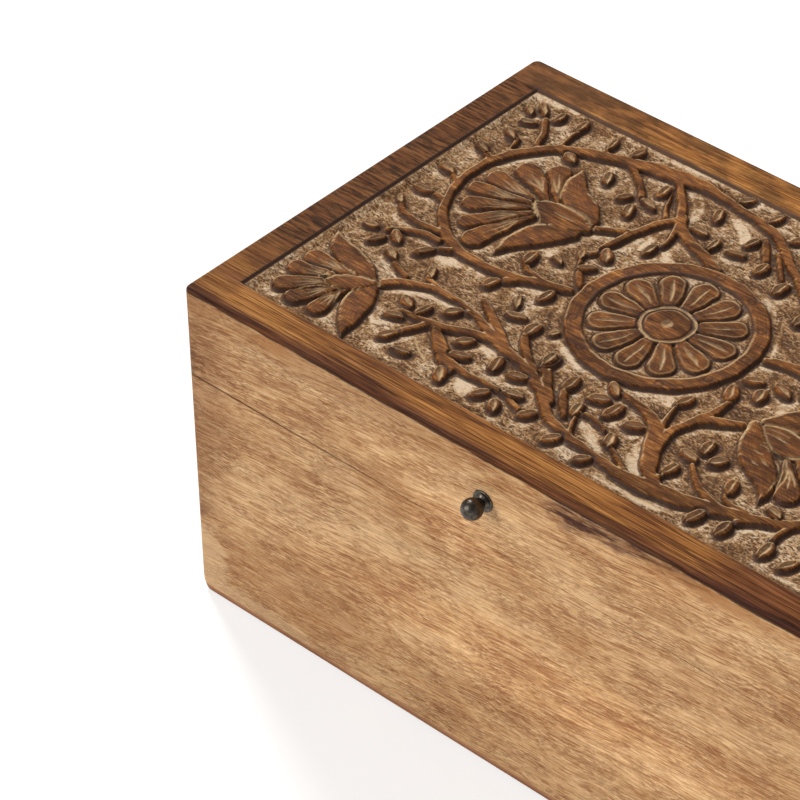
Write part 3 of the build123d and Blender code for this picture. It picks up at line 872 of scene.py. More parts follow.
def smoothed(points: Sequence[Point], step: float = 2.4) -> np.ndarray:
    """Run a smooth line through a stroke's points.

    Args:
        points: The x, y and width of each point.
        step: The longest straight bit, in millimetres.

    Returns:
        The points of the smooth line, one row each.
    """
    given = np.array(points, dtype=float)
    ends = np.vstack([2 * given[0] - given[1], given, 2 * given[-1] - given[-2]])
    line = [given[0]]
    for a, b, c, d in zip(ends, ends[1:], ends[2:], ends[3:]):
        count = max(1, round(math.hypot(*(c - b)[:2]) / step))
        for t in np.arange(1, count + 1) / count:
            line.append(0.5 * (2 * b + (c - a) * t + (2 * a - 5 * b + 4 * c - d) * t**2
                               + (3 * b - a - 3 * c + d) * t**3))
    path = np.array(line)
    path[:, 2] = np.maximum(path[:, 2], 0.0)
    return path


def ease(value: np.ndarray, start: float, end: float) -> np.ndarray:
    """Run smoothly from 0 at start to 1 at end."""
    t = np.clip((value - start) / (end - start), 0.0, 1.0)
    return t * t * (3.0 - 2.0 * t)


def facing(way: tuple[float, float], slope_x: np.ndarray, slope_y: np.ndarray) -> np.ndarray:
    """Give how much a slope rises in a direction."""
    return way[0] * slope_x + way[1] * slope_y


@dataclass
class Reach:
    """How far the points of one window lie from a motif's outline.

    Attributes:
        window: The part of the grid that it covers.
        gap: The distance to the outline, below 0 inside the motif.
        across: How far each point is from the motif's middle line.
        along: How far along the motif it is.
        half: Half the motif's width there.
    """

    window: tuple[slice, slice]
    gap: np.ndarray
    across: np.ndarray
    along: np.ndarray
    half: np.ndarray


@dataclass(frozen=True)
class Cut:
    """How a motif is carved.

    Attributes:
        top: Its height above the ground.
        wall: How far its wall leans in.
        dome: How much its middle stands proud of its rim.
        line: The width of the dark line cut round it.
        deep: How far that line goes below what it is cut in.
        seam: How pale the line is where it runs over another motif.
        tone: 0 for a golden vine, 1 for a dark flower.
        glow: How bright the painted highlight on its rim is, on the side of the light.
        band: How wide that painted highlight is.
    """

    top: float
    wall: float = 0.85
    dome: float = 0.25
    line: float = 0.8
    deep: float = 0.9
    seam: float = 0.0
    tone: float = 0.0
    glow: float = 0.0
    band: float = 1.2


class Relief:
    """The carved surface as heights and tints on one fine grid, in millimetres."""

    def __init__(self, half_x: float, half_y: float, cell: float) -> None:
        """Start with bare, slightly wavy ground, and a wobble in all that is carved into it.

        Args:
            half_x: Half the grid's length.
            half_y: Half its depth.
            cell: The size of one cell.
        """
        self.low = (-half_x, -half_y)
        self.cell = cell
        xs, ys = (np.linspace(-half, half, round(2 * half / cell) + 1) for half in (half_x, half_y))
        x, y = np.meshgrid(xs, ys, indexing="ij")
        self.flat_x, self.flat_y = x, y
        self.x = x + 0.35 + 0.20 * np.sin(0.55 * y + 1.3) + 0.10 * np.sin(1.3 * x + 0.7 * y)
        self.y = y - 0.30 + 0.20 * np.sin(0.50 * x + 0.4) + 0.10 * np.sin(1.1 * y - 0.8 * x)
        self.height = 0.10 * np.sin(0.8 * x + 2 * np.sin(0.5 * y)) * np.sin(0.7 * y + 2 * np.sin(0.4 * x))
        self.near = np.full_like(x, 9.0)
        self.lime, self.carved = (np.ones_like(x) for _ in range(2))
        # The dark layer holds cut lines and painted shade; the pale cut layer holds fresh wood and painted
        # highlights; the scoop layer holds painted highlights on the ground.
        self.stain, self.cut, self.tone, self.scoop_highlight = (np.zeros_like(x) for _ in range(4))
        self.lee, self.hug, self.across, self.along = (np.zeros_like(x) for _ in range(4))

    def window(self, path: np.ndarray, margin: float) -> tuple[slice, slice]:
        """Give the part of the grid that a line's surroundings cover.

        Args:
            path: The line's points.
            margin: How far the surroundings reach.

        Returns:
            The rows and the columns.
        """
        spans = []
        for axis in (0, 1):
            first = int((path[:, axis].min() - margin - self.low[axis]) / self.cell)
            last = int((path[:, axis].max() + margin - self.low[axis]) / self.cell) + 2
            spans.append(slice(max(0, first), max(0, min(last, self.x.shape[axis]))))
        return spans[0], spans[1]

    def measure(self, points: Sequence[Point]) -> Reach:
        """Measure the surroundings of a stroke.

        Args:
            points: The x, y and width of the stroke's points.

        Returns:
            The distances to the stroke's outline.
        """
        path = smoothed(points)
        window = self.window(path, path[:, 2].max() / 2 + MARGIN)
        u, v = self.x[window], self.y[window]
        reach = Reach(window, np.full_like(u, 99.0), np.zeros_like(u), np.zeros_like(u), np.ones_like(u))
        run = 0.0
        for (ax, ay, aw), (bx, by, bw) in zip(path[:-1], path[1:]):
            dx, dy = bx - ax, by - ay
            length = math.hypot(dx, dy)
            t = np.clip(((u - ax) * dx + (v - ay) * dy) / length**2, 0.0, 1.0)
            px, py = u - ax - t * dx, v - ay - t * dy
            half = (aw + t * (bw - aw)) / 2
            gap = np.hypot(px, py) - half
            near = gap < reach.gap
            reach.gap[near] = gap[near]
            reach.across[near] = ((dx * py - dy * px) / length)[near]
            reach.along[near] = (run + t * length)[near]
            reach.half[near] = half[near]
            run += length
        return reach

    def oval(self, x: float, y: float, turn: float, long: float, wide: float) -> Reach:
        """Measure the surroundings of an oval.

        Args:
            x: Its middle.
            y: Its middle.
            turn: The angle of its long axis, in degrees.
            long: Its length.
            wide: Its width.

        Returns:
            The distances to its outline.
        """
        window = self.window(np.array([(x, y)]), long / 2 + MARGIN)
        c, s = math.cos(math.radians(turn)), math.sin(math.radians(turn))
        dx, dy = self.x[window] - x, self.y[window] - y
        u, v = dx * c + dy * s, dy * c - dx * s
        k = np.hypot(2 * u / long, 2 * v / wide) + 1e-6
        slope = np.hypot(4 * u / long**2, 4 * v / wide**2) + 1e-6
        return Reach(window, k * (k - 1) / slope, v, u, np.full_like(u, wide / 2))

    def lay(self, reach: Reach, cut: Cut) -> None:
        """Carve one motif over what is there.

        Args:
            reach: The distances to its outline.
            cut: How it is carved.
        """
        at, gap = reach.window, reach.gap
        old = self.height[at]
        inside = gap < 0
        foot = np.clip(old - cut.deep, -0.3, cut.top - 0.7)
        crown = np.clip(-gap / np.maximum(reach.half, 0.5), 0, 1)
        rise = foot + (cut.top - foot) * ease(-gap, 0.0, cut.wall) + cut.dome * (1 - (1 - crown) ** 2)
        groove = foot + (old - foot) * ease(gap, 0.0, cut.line)
        self.height[at] = np.where(inside, rise, np.where(gap < cut.line, np.minimum(old, groove), old))
        raised = ease(self.height[at], 0.35, 0.75)
        dark = (1 - ease(gap, 0.3, 0.85)) * (1 - ease(-gap, 0.1, 0.45)) * raised * (1 - cut.seam)
        pale = (1 - ease(np.abs(gap), 0.15, 0.55)) * raised * cut.seam
        # Painted highlight: a pale rim inside the outline on the side that faces the light.
        lit = ease(-facing(LEE, *np.gradient(gap, self.cell)), 0.0, 0.6) * ease(-gap, 0.3, 0.55)
        lit = lit * ease(-gap, cut.band + 0.2, cut.band - 0.3)
        pale = np.maximum(pale, np.maximum(0.4 * raised, cut.glow) * lit)
        self.stain[at] = np.where(inside, dark, np.maximum(self.stain[at], dark))
        self.cut[at] = np.where(inside, pale, np.maximum(self.cut[at] * (1 - dark), pale))
        self.lime[at][inside] = 0.0
        self.tone[at][inside] = cut.tone
        self.across[at][inside] = reach.across[inside]
        self.along[at][inside] = reach.along[inside]
        self.near[at] = np.minimum(self.near[at], gap)

    def score(self, reach: Reach, depth: float, pale: float, dark: float = 0.0) -> None:
        """Cut a groove into what is there.

        Args:
            reach: The distances to the groove's rim.
            depth: How deep it is in its middle.
            pale: How much fresh wood it shows, brightest as a painted highlight on the wall that faces the
                light.
            dark: How much soot it holds; the wall away from the light also gets painted shade.
        """
        at = reach.window
        slope = np.clip(-reach.gap / np.maximum(reach.half, 0.25), 0, 1)
        self.height[at] -= depth * slope
        # Painted light: the groove's wall that faces the light is paler, the other wall darker.
        lit = 0.45 + 0.55 * ease(facing(LEE, *np.gradient(reach.gap, self.cell)), -0.55, 0.25)
        self.cut[at] = np.maximum(self.cut[at], pale * lit * ease(-reach.gap, -0.15, 0.25))
        self.stain[at] = np.where(slope > 0, self.stain[at] * (1 - 0.8 * pale * lit), self.stain[at])
        soot_and_shade = np.maximum(dark, 0.75 * pale * (1 - lit)) * ease(-reach.gap, -0.30, 0.1)
        self.stain[at] = np.maximum(self.stain[at], soot_and_shade)

    def groove(self, points: Sequence[Point], depth: float, pale: float, dark: float = 0.0) -> None:
        """Cut a groove along a stroke; see score for the rest."""
        self.score(self.measure(points), depth, pale, dark)

    def join(self, reaches: Sequence[Reach], melt: float = 1.6) -> Reach:
        """Make one outline of several, which flow into each other where they meet.

        Args:
            reaches: The distances to each outline.
            melt: How far apart outlines start to flow together.

        Returns:
            The distances to the joined outline.
        """
        across, along = np.zeros_like(self.x), np.zeros_like(self.x)
        whole = Reach(EVERYWHERE, np.full_like(self.x, 99.0), across, along, np.ones_like(self.x))
        for part in reaches:
            gap = whole.gap[part.window]
            blend = np.clip(0.5 + 0.5 * (gap - part.gap) / melt, 0.0, 1.0)
            gap[:] = gap + blend * (part.gap - gap) - melt * blend * (1 - blend)
            # The sum rounds to the part's own gap, so only about half of the cells take the part's flow,
            # which breaks up the grain of the vines
            taken = part.gap < gap
            for name in ("across", "along", "half"):
                getattr(whole, name)[part.window][taken] = getattr(part, name)[taken]
        return whole


@dataclass(frozen=True)
class Pattern:
    """The strokes of the lid's vine pattern.

    One half is drawn; half a turn about the middle gives the rest, but for the front right quarter, which
    the carver drew anew. A stroke holds the x, y and width of its points, a pod its middle x and y, the
    angle of its long axis, its length and its width.

    Attributes:
        middle: The medallion's middle.
        vine: The main vine.
        stems: The side stems.
        lobes: The lobes of the flowers, from root to tip.
        sepals: The leaves that cup them.
        grooves: The veins cut into leaves and wide stems.
        scoop_highlights: The strips of ground beside the motifs that are painted paler, as the highlight of
            their scooped slopes.
        pods: The pods.
        corner_from: The left edge of the front right quarter.
        corner_to: A place on its back edge.
        corner_lean: How steeply that edge falls to the right.
        corner_stems: The stems of the front right quarter.
        corner_pods: Its pods.
        corner_sepal: Its leaf.
        corner_grooves: Its veins.
    """

    middle: tuple[float, float] = (0.6, 0.6)
    vine: Stroke = (
        (-97, -51, 4.5), (-90, -44.5, 4.5), (-80, -40, 3.6), (-70, -39.3, 3.2), (-60, -40.4, 3.2),
        (-50, -44, 4.4), (-40, -48, 5.6), (-30, -50.8, 4.6), (-20, -53.4, 4.6), (-10, -59, 4.4),
        (-3, -65, 4.6), (5, -69.8, 4.8), (16, -72.8, 4.4), (28, -74.4, 4.2), (38, -76, 5.2),
        (47, -76.4, 7.4), (58, -74.6, 8.4), (68, -72.6, 7.6), (80.7, -68.6, 6), (91, -64.9, 5.8),
        (102, -59.4, 5), (108.5, -53.3, 5), (114.5, -44.8, 5), (118.5, -34.8, 4.6), (119.5, -25.8, 4.2),
        (118.5, -15.8, 4.2), (114.7, -5.3, 4.4), (108.2, 4.7, 4.8), (99.2, 12.2, 5.2), (89.2, 16.7, 5),
        (79.2, 17.7, 4.6), (69.2, 17.2, 4.6), (59.2, 14.7, 4.6), (49.2, 10.7, 4.4), (41.2, 8.2, 3.6),
    )
    stems: tuple[Stroke, ...] = (
        ((-119, 71, 3.4), (-114, 64, 3.6), (-110.5, 56, 3.2)),
        ((-104, 73, 3), (-103.6, 67, 2.6), (-103, 61, 2.6)),
        ((-119, 54, 3), (-116.8, 48, 2.4), (-114.5, 42, 2.2)),
        ((-88, 71.5, 3), (-86, 69, 3)),
        ((-122.5, 39.5, 4), (-118.5, 37, 4)),
        ((-123, 20.5, 3), (-118.5, 17, 3)),
        ((-121, 6, 3.4), (-115.5, 4.6, 3.4)),
        ((-125.5, -6.5, 3), (-120, -11, 3), (-112, -12.5, 3.4), (-102, -12, 3.6)),
        ((-57, 74.5, 2.5), (-50, 71, 3.6), (-45.5, 66, 4.2), (-41, 60.5, 4.4), (-36.5, 54.5, 5),
         (-31, 49, 5), (-23, 45.3, 5.2), (-15, 42.3, 5.4), (-7, 38.5, 5.4)),
        ((-36, 56, 4), (-41.5, 47, 4.2), (-44.5, 38, 4), (-46.5, 29, 4.2), (-47.8, 20, 3.6)),
        ((-35, 51, 3.6), (-32.5, 44, 3.2), (-31.6, 37, 2.8)),
        ((-47, 36, 3.2), (-53, 31.5, 3.4), (-59.5, 28, 3.6)),
        ((-46, 20, 3), (-50, 12.5, 2.6), (-44, 3, 3.4), (-39.5, -2, 3.6)),
        ((-75, 71.5, 3.4), (-68, 66, 3.6), (-60.5, 60, 3.6), (-57, 56, 3.6)),
        ((-52, 69, 1.4), (-48.8, 63, 1.9), (-46, 57.5, 2.4), (-42.5, 52, 3)),
        ((-3.5, 63.5, 2.6), (1, 58.5, 2.6), (4, 55, 2.4)),
        ((4.5, 62, 2.6), (10.5, 55.5, 2.8), (15.5, 50, 2.6)),
        ((-67, -3, 3), (-60, -7.6, 3.2), (-50, -9.6, 3.2), (-42, -8.6, 3.2)),
        ((-98, -16, 3.8), (-106, -16.8, 3.6), (-113, -20, 3), (-117, -24, 2.8)),
        ((-95, -21, 3.2), (-90.5, -18.2, 3.4)),
        ((-63.5, -19.5, 3.8), (-60, -16, 4)),
        ((-102.5, -36, 3.6), (-98, -38.6, 3.2), (-92, -41, 2.8)),
        ((-85, -36, 3.4), (-78, -38.6, 3), (-70, -39.3, 3)),
        ((-60, -32.5, 3), (-54, -36.5, 4.2), (-47, -41, 4.6), (-41, -45, 4.6), (-36, -48, 4.4)),
        ((-35, -38.5, 3.8), (-31, -43, 4), (-25, -48, 4), (-19, -52, 3.6)),
        ((-18.4, -47.3, 3.8), (-13, -52.5, 3.8), (-8, -57.5, 3.4), (-3, -62, 3)),
        ((-3.4, -54, 3), (0.5, -59, 3.2), (6, -64.5, 3)),
        ((-40, -48.4, 4), (-48, -49.6, 4.4), (-56, -52.8, 4.6), (-63, -55.6, 4.4), (-70, -56.8, 3.6),
         (-79, -57.4, 2.2)),
        ((-59, -42, 3), (-63.5, -43, 2.6)),
        ((-66, -57.5, 3.5), (-68.5, -62, 3.8), (-71, -67, 3.6)),
        ((-61.5, -57.5, 4.4), (-56, -62.5, 5.8), (-49, -67.5, 6.6), (-44, -71, 6), (-43, -74.5, 5)),
        ((-46, -69, 5), (-38, -69.6, 3.6), (-28, -69.3, 3), (-20, -69, 3), (-12, -71.5, 3),
         (-6, -73, 2.4)),
        ((-17, -57, 3.6), (-10, -58.6, 3.6)),
    )
    lobes: tuple[Stroke, ...] = (
        ((-80.5, 20, 3), (-85, 8, 7), (-89, -6, 11)),
        ((-80, 33, 3), (-86, 40, 7), (-91.5, 47.5, 10.5)),
        ((-82, 21.5, 3), (-89.5, 12, 7), (-97.5, 1, 9)),
        ((-83, 30.5, 3), (-93, 36.5, 8), (-101.5, 40.5, 11.5)),
        ((-84, 23.5, 3), (-94, 17, 7), (-104.5, 10.5, 9)),
        ((-86, 27.5, 3), (-97, 28, 7), (-107.5, 29.5, 10)),
        ((-86, 25.5, 3), (-98, 22, 6.5), (-109.5, 19.5, 8.5)),
        ((-107, -53, 3), (-117, -54.5, 8), (-125.5, -54.5, 10)),
        ((-103.5, -63, 3), (-104.5, -70, 7), (-104, -77, 8.5)),
        ((-108, -57, 3), (-118, -61, 7), (-127, -63.5, 8.5)),
        ((-106, -62, 3), (-111, -70, 8), (-115, -77, 9.5)),
        ((-108, -60, 3), (-116, -67, 7.5), (-124, -74, 9.5)),
    )
    sepals: tuple[Stroke, ...] = (
        ((-85.8, 56, 0), (-83, 48, 7.5), (-78.5, 41.5, 11.5), (-71, 36.5, 13), (-62.5, 32, 8)),
        ((-77, -9, 0), (-76.5, 0, 7), (-73.5, 8, 12), (-69.5, 14.5, 13.5), (-62.5, 21, 7)),
        ((-87.5, 27, 0), (-82, 26.8, 8.5), (-76, 26, 13.5), (-68, 26, 13), (-60, 26.5, 5)),
        ((-131.5, -36.5, 0), (-125, -42, 8), (-117, -45.3, 11), (-109, -47.5, 10.5), (-100.5, -51, 5.5)),
        ((-85.5, -84, 0), (-89.8, -76, 7.5), (-93.5, -68, 12), (-96.5, -60, 11.5), (-98.5, -52, 5)),
        ((-114, -63, 0), (-109, -60, 8.5), (-104, -57, 9.5), (-98.5, -52.5, 4.5)),
    )
    grooves: tuple[Stroke, ...] = (
        ((-87, 49, 0.6), (-85.5, 42, 1.8), (-81, 35, 1.2)),
        ((-87, 27, 0.8), (-82, 30, 1.5), (-77, 33, 1.2)),
        ((-87, 27, 0.8), (-82, 22.5, 1.5), (-77, 18.5, 1.2)),
        ((-77, 17, 1.0), (-80, 10, 1.7), (-80.5, 2, 1.5), (-79, -5, 0.6)),
        ((-76, 26, 0.4), (-71, 26, 1.2), (-66, 26, 0.4)),
        ((-105, -53, 0.8), (-107.5, -55.5, 1.3), (-110.5, -58, 0.6)),
        ((-115, -56, 0.6), (-116, -59.5, 1.1), (-117, -63, 0.6)),
        ((-100, -58, 0.6), (-100.5, -60.5, 1.1), (-101.5, -63, 0.6)),
        ((-104, -65, 0.8), (-101, -71, 1.3), (-98, -77, 0.6)),
        ((-66, -65, 0.6), (-57, -71, 1.1), (-47, -77, 0.6)),
    )
    scoop_highlights: tuple[Stroke, ...] = (
        ((-114, 39, 2), (-108.5, 49.5, 4.5), (-101, 57.5, 1.5)),
        ((-110.5, -19.8, 0.8), (-104, -18.6, 3.2), (-97, -17, 1.6)),
        ((-91.5, -24.5, 1.2), (-85, -22, 3.8), (-78, -20.4, 2.8), (-70, -20, 2), (-66.8, -20.4, 0.8)),
        ((-90.5, -50.5, 0.8), (-85, -46, 3.8), (-77, -42.8, 3.2), (-69, -42.2, 3), (-63, -43, 0.8)),
        ((-58, -42.7, 0.8), (-52, -44.2, 2.2), (-46, -46.6, 0.8)),
        ((-43, -54.5, 1.6), (-38, -53.6, 4.2), (-34.2, -55, 1.6)),
        ((-63.5, 14, 1.6), (-60.5, 9.5, 4.2), (-62.5, 4.5, 1.6)),
        ((-55, -16, 1.2), (-50.5, -14.6, 4.2), (-45, -11, 1.6)),
        ((-38.6, -12, 0.5), (-36, -17.5, 1.2), (-33, -24, 1.0), (-30, -29, 0.5)),
        ((-25, -31.2, 0.8), (-20, -34.6, 2.6), (-13, -37.6, 1.9), (-7.5, -38.9, 0.8)),
        ((-4.5, -71.5, 1.6), (2, -73.6, 4), (8, -74.5, 1.6)),
        ((-38.5, -72, 1.6), (-33, -75, 6), (-30, -79, 2.4)),
        ((-29, 36.5, 1.6), (-26, 33, 5), (-21.5, 31, 2)),
        ((-38.2, 45, 0.8), (-38.2, 38, 2.6), (-37.6, 31, 1.2)),
        ((-56, 76.4, 0.5), (-46, 73.4, 3.4), (-38, 67.3, 4.2), (-34.6, 60, 2.2), (-33.6, 56, 0.6)),
        ((-27, 72.6, 0.8), (-20, 68.4, 3.6), (-13, 64, 4), (-10.6, 60, 1.2)),
        ((-2, 69.4, 0.6), (4, 65.3, 2), (11, 61.3, 0.8)),
        ((-62, 82.6, 1.2), (-50, 83.4, 1.6), (-30, 83.4, 0.8)),
        ((-133.5, 82, 1.6), (-125, 82.6, 2.4), (-112, 83, 0.8)),
        ((-79, -66, 0.6), (-83, -68, 2.4), (-86.5, -66, 1)),
    )
    pods: tuple[Point, ...] = (
        (-128.5, 72.5, -35, 7.5, 5), (-124.5, 76.8, -42, 10, 5.2), (-115.5, 76, 85, 8.5, 5.2),
        (-123.5, 66, 22, 9, 4.6), (-105, 77, 88, 9, 6), (-88.2, 76, 95, 9, 5), (-76.5, 77.5, 72, 8, 6),
        (-123.5, 55.5, -32, 10, 5.4), (-126.2, 41.3, -22, 9.5, 6.2), (-126.8, 21.5, -8, 9, 6),
        (-124.8, 5, 8, 10, 5.6), (-127.3, -5.5, -45, 7, 4.2), (-94.8, 58, -30, 9, 6.2),
        (-75, 57.5, -62, 9.5, 6.2), (-53.3, 64.5, 90, 9, 6.2), (-62.6, 52, 58, 8.5, 5.4),
        (-52.5, 54.3, -14, 9.5, 5.2), (-55.5, 46, -65, 10, 6.2), (-27.5, 66, -70, 9.5, 6),
        (-27, 53.8, 4, 9.5, 5.6), (-17.4, 50.3, 95, 9, 5.4), (-7.8, 51.6, 12, 9.5, 5.2),
        (-7, 61, 84, 9, 6), (5.7, 50.3, 92, 9.5, 6.6), (18.6, 45.3, 88, 10, 6.8), (-25, 81, 52, 8.5, 5.4),
        (-9.4, 79, 68, 9, 5.4), (-33.6, 32.3, 84, 9.5, 5.6), (-43.6, 18.5, -55, 10, 6.2),
        (-44.2, 7.6, 36, 9, 5.2), (-51, 13, -60, 7, 4.6), (-64.2, -1.5, 92, 9.5, 7),
        (-56, 4.5, -28, 8, 4.4), (-124, -25.3, 18, 8.5, 5), (-111.3, -24.6, -38, 9.5, 6),
        (-116.4, -30.8, 66, 9, 5.6), (-97.5, -24.7, 52, 10.5, 5.4), (-65.2, -23, 72, 9, 6.4),
        (-105.5, -34, -32, 9.5, 5.6), (-86.2, -32.5, -55, 8.5, 5.2), (-44.3, -15.6, 82, 9.5, 6.4),
        (-50, -25, -62, 8.5, 4.6), (-44.8, -32, 14, 10, 5.4), (-35, -34, 88, 10, 7.2),
        (-27.5, -30.5, 60, 5.5, 4.2), (-18.8, -43.2, 100, 9, 6.4), (-3.6, -49, 88, 10, 6.8),
        (-64, -45.8, 52, 9.5, 6.2), (-81.3, -52, -32, 9.5, 6), (-73, -51.8, 78, 9, 5.6),
        (-79.5, -61.5, 20, 9.5, 5.2), (-73.5, -71.5, 58, 10, 6), (-63.5, -75.5, 16, 9.5, 5.8),
        (-49, -56, 48, 9.5, 6.2), (-45, -63.3, 14, 9.5, 5.8), (-31.5, -58.5, -76, 10.5, 6.6),
        (-21, -58.7, 14, 9.5, 6.2), (-15.2, -67.6, 18, 9.5, 5.8), (-4.5, -72.8, 52, 9, 6),
        (-25, -75, 60, 9.5, 6), (-16.6, -77, -52, 9.5, 5.8), (-43.3, -76.3, -52, 11, 6.4),
    )
    corner_from: float = 4.0
    corner_to: tuple[float, float] = (52.5, 12.0)
    corner_lean: float = 1.3
    corner_stems: tuple[Stroke, ...] = (
        ((14, -40.5, 3), (20, -42, 4), (28, -43.5, 5), (35, -48.5, 6.4), (40.7, -58.7, 5.6),
         (46.4, -66.6, 6), (53.6, -72.3, 6)),
        ((46, -20, 3), (45.5, -27, 4), (43.5, -35, 4.8), (41, -43, 4.2), (40.5, -50, 5), (43, -58, 5),
         (48, -66, 4)),
        ((45, -35, 4), (47.5, -32.5, 5), (52, -29.5, 4.8), (59, -25.5, 3)),
        ((57.9, -55.9, 2.6), (63.6, -60.9, 3.6), (70, -65, 3.8), (77, -67, 4), (83, -68, 4)),
        ((76.5, -61, 2.4), (80.7, -63.7, 2.8), (87.9, -63.7, 3.4)),
        ((33.2, -34.5, 2.4), (34, -40, 2.8), (36.5, -46, 3), (39, -51.5, 3)),
        ((30, -67, 2.6), (35, -70, 3), (41, -73.5, 3)),
        ((9.5, -63, 2.4), (11, -66, 2.8), (14, -70.5, 2.8)),
        ((29, -52.5, 2.4), (33, -51, 3), (37, -52.5, 3)),
        ((53.4, -66.5, 2.4), (53, -70, 3)),
        ((78, -70.5, 3), (77, -74, 2.6)),
        ((87.6, -71.5, 3), (89.5, -68.4, 3.4), (93, -65, 3.4)),
        ((104, -69.5, 3.6), (103.3, -64.5, 3.2), (104.4, -59.5, 3)),
        ((22, -61.5, 2.2), (14, -58.5, 2.6), (8, -60.5, 2.4)),
    )
    corner_pods: tuple[Point, ...] = (
        (10.1, -41, -35, 10, 5.5), (9.5, -49.1, 30, 10.5, 6.5), (17.8, -50.9, 82, 11, 7),
        (28.6, -52.5, 25, 9.5, 7), (7.3, -58.9, 95, 9, 6), (27.3, -64.1, -60, 9.5, 6.5),
        (33.6, -29.8, 75, 9.5, 6), (44.8, -4.3, 25, 9.5, 6), (43, -15, -65, 10.5, 7),
        (52, -9.4, -70, 9, 7), (56.4, -1.8, -25, 11, 6.2), (56.2, -44.6, -78, 9.5, 6.6),
        (53.4, -52.3, -12, 10, 6), (63.6, -48.4, 50, 9.5, 6.6), (75.6, -55.8, -68, 9, 6.8),
        (95.4, -56.9, -25, 9, 6), (53.4, -62.5, 80, 9, 6.4), (75.8, -76.4, 80, 10, 6.8),
        (87.2, -75.2, 90, 10, 7), (10.9, -77.5, 60, 9.5, 6.2), (26.4, -78.9, 50, 9, 6),
        (105.2, -74.4, 96, 10.5, 6.8), (115.7, -75.6, 66, 9.5, 6.2),
    )
    corner_sepal: Stroke = (
        (88, -57.5, 0), (86, -51, 5), (81, -44.5, 9.5), (73, -38.5, 13), (66, -32, 10.5), (61, -24, 6),
    )
    corner_grooves: tuple[Stroke, ...] = (
        ((80, -30.9, 0.6), (85, -37.3, 1.3), (87.9, -44.4, 1.3), (88.6, -50.9, 0.5)),
        ((78.6, -33.5, 0.4), (83, -39, 0.8), (85.6, -45, 0.8), (86.8, -50.5, 0.3)),
        ((65.4, -22.6, 0.4), (70, -22, 0.9), (75, -22.3, 0.4)),
        ((68.9, -31.9, 0.4), (74, -31.2, 1.0), (80, -31.6, 0.5)),
        ((69.5, -35.5, 0.3), (71.5, -35.9, 1.1), (73.5, -35.7, 0.3)),
        ((74, -37.5, 0.3), (76, -38.6, 1.2), (78.5, -39, 0.3)),
        ((71.5, -40.6, 0.3), (73.5, -41.2, 1.0), (75.5, -41.1, 0.3)),
        ((40, -80.6, 0.5), (50, -81.2, 1.3), (62, -80.8, 1.2), (70, -79.6, 0.5)),
    )

    def turned(self, points: Sequence[Point]) -> Stroke:
        """Give a stroke's copy half a turn round."""
        cx, cy = 2 * self.middle[0], 2 * self.middle[1]
        return tuple((cx - x, cy - y, *rest) for x, y, *rest in points)

    def redrawn(self, points: Sequence[Point]) -> bool:
        """Tell whether a stroke lies in the front right quarter, which has strokes of its own."""
        x, y = (sum(point[axis] for point in points) / len(points) for axis in (0, 1))
        return x > self.corner_from and y < self.corner_to[1] - self.corner_lean * (x - self.corner_to[0])

    def repeated(self, strokes: Sequence[Stroke], left_out: int = 0) -> list[Stroke]:
        """Give strokes and their copies half a turn round.

        Args:
            strokes: The strokes.
            left_out: How many, from the first on, get no copy in the front right quarter.

        Returns:
            Each stroke, followed by its copy if it has one.
        """
        made = []
        for number, points in enumerate(strokes):
            copy = self.turned(points)
            made.append(points)
            if number >= left_out or not self.redrawn(copy):
                made.append(copy)
        return made

    def vines(self) -> list[Stroke]:
        """Give every vine and stem of the panel."""
        stems = self.repeated(self.stems, left_out=len(self.stems))
        return [*self.repeated([self.vine]), *self.corner_stems, *stems]

    def leaves(self) -> list[Stroke]:
        """Give every leaf that cups a flower."""
        return [*self.repeated(self.sepals, left_out=1), self.corner_sepal]

    def seeds(self) -> list[Point]:
        """Give every pod."""
        ovals = self.repeated([(pod,) for pod in self.pods], left_out=len(self.pods))
        return [*(pod for (pod,) in ovals), *self.corner_pods]

    def veins(self) -> list[Stroke]:
        """Give every groove."""
        return [*self.repeated(self.grooves, left_out=1), *self.corner_grooves]


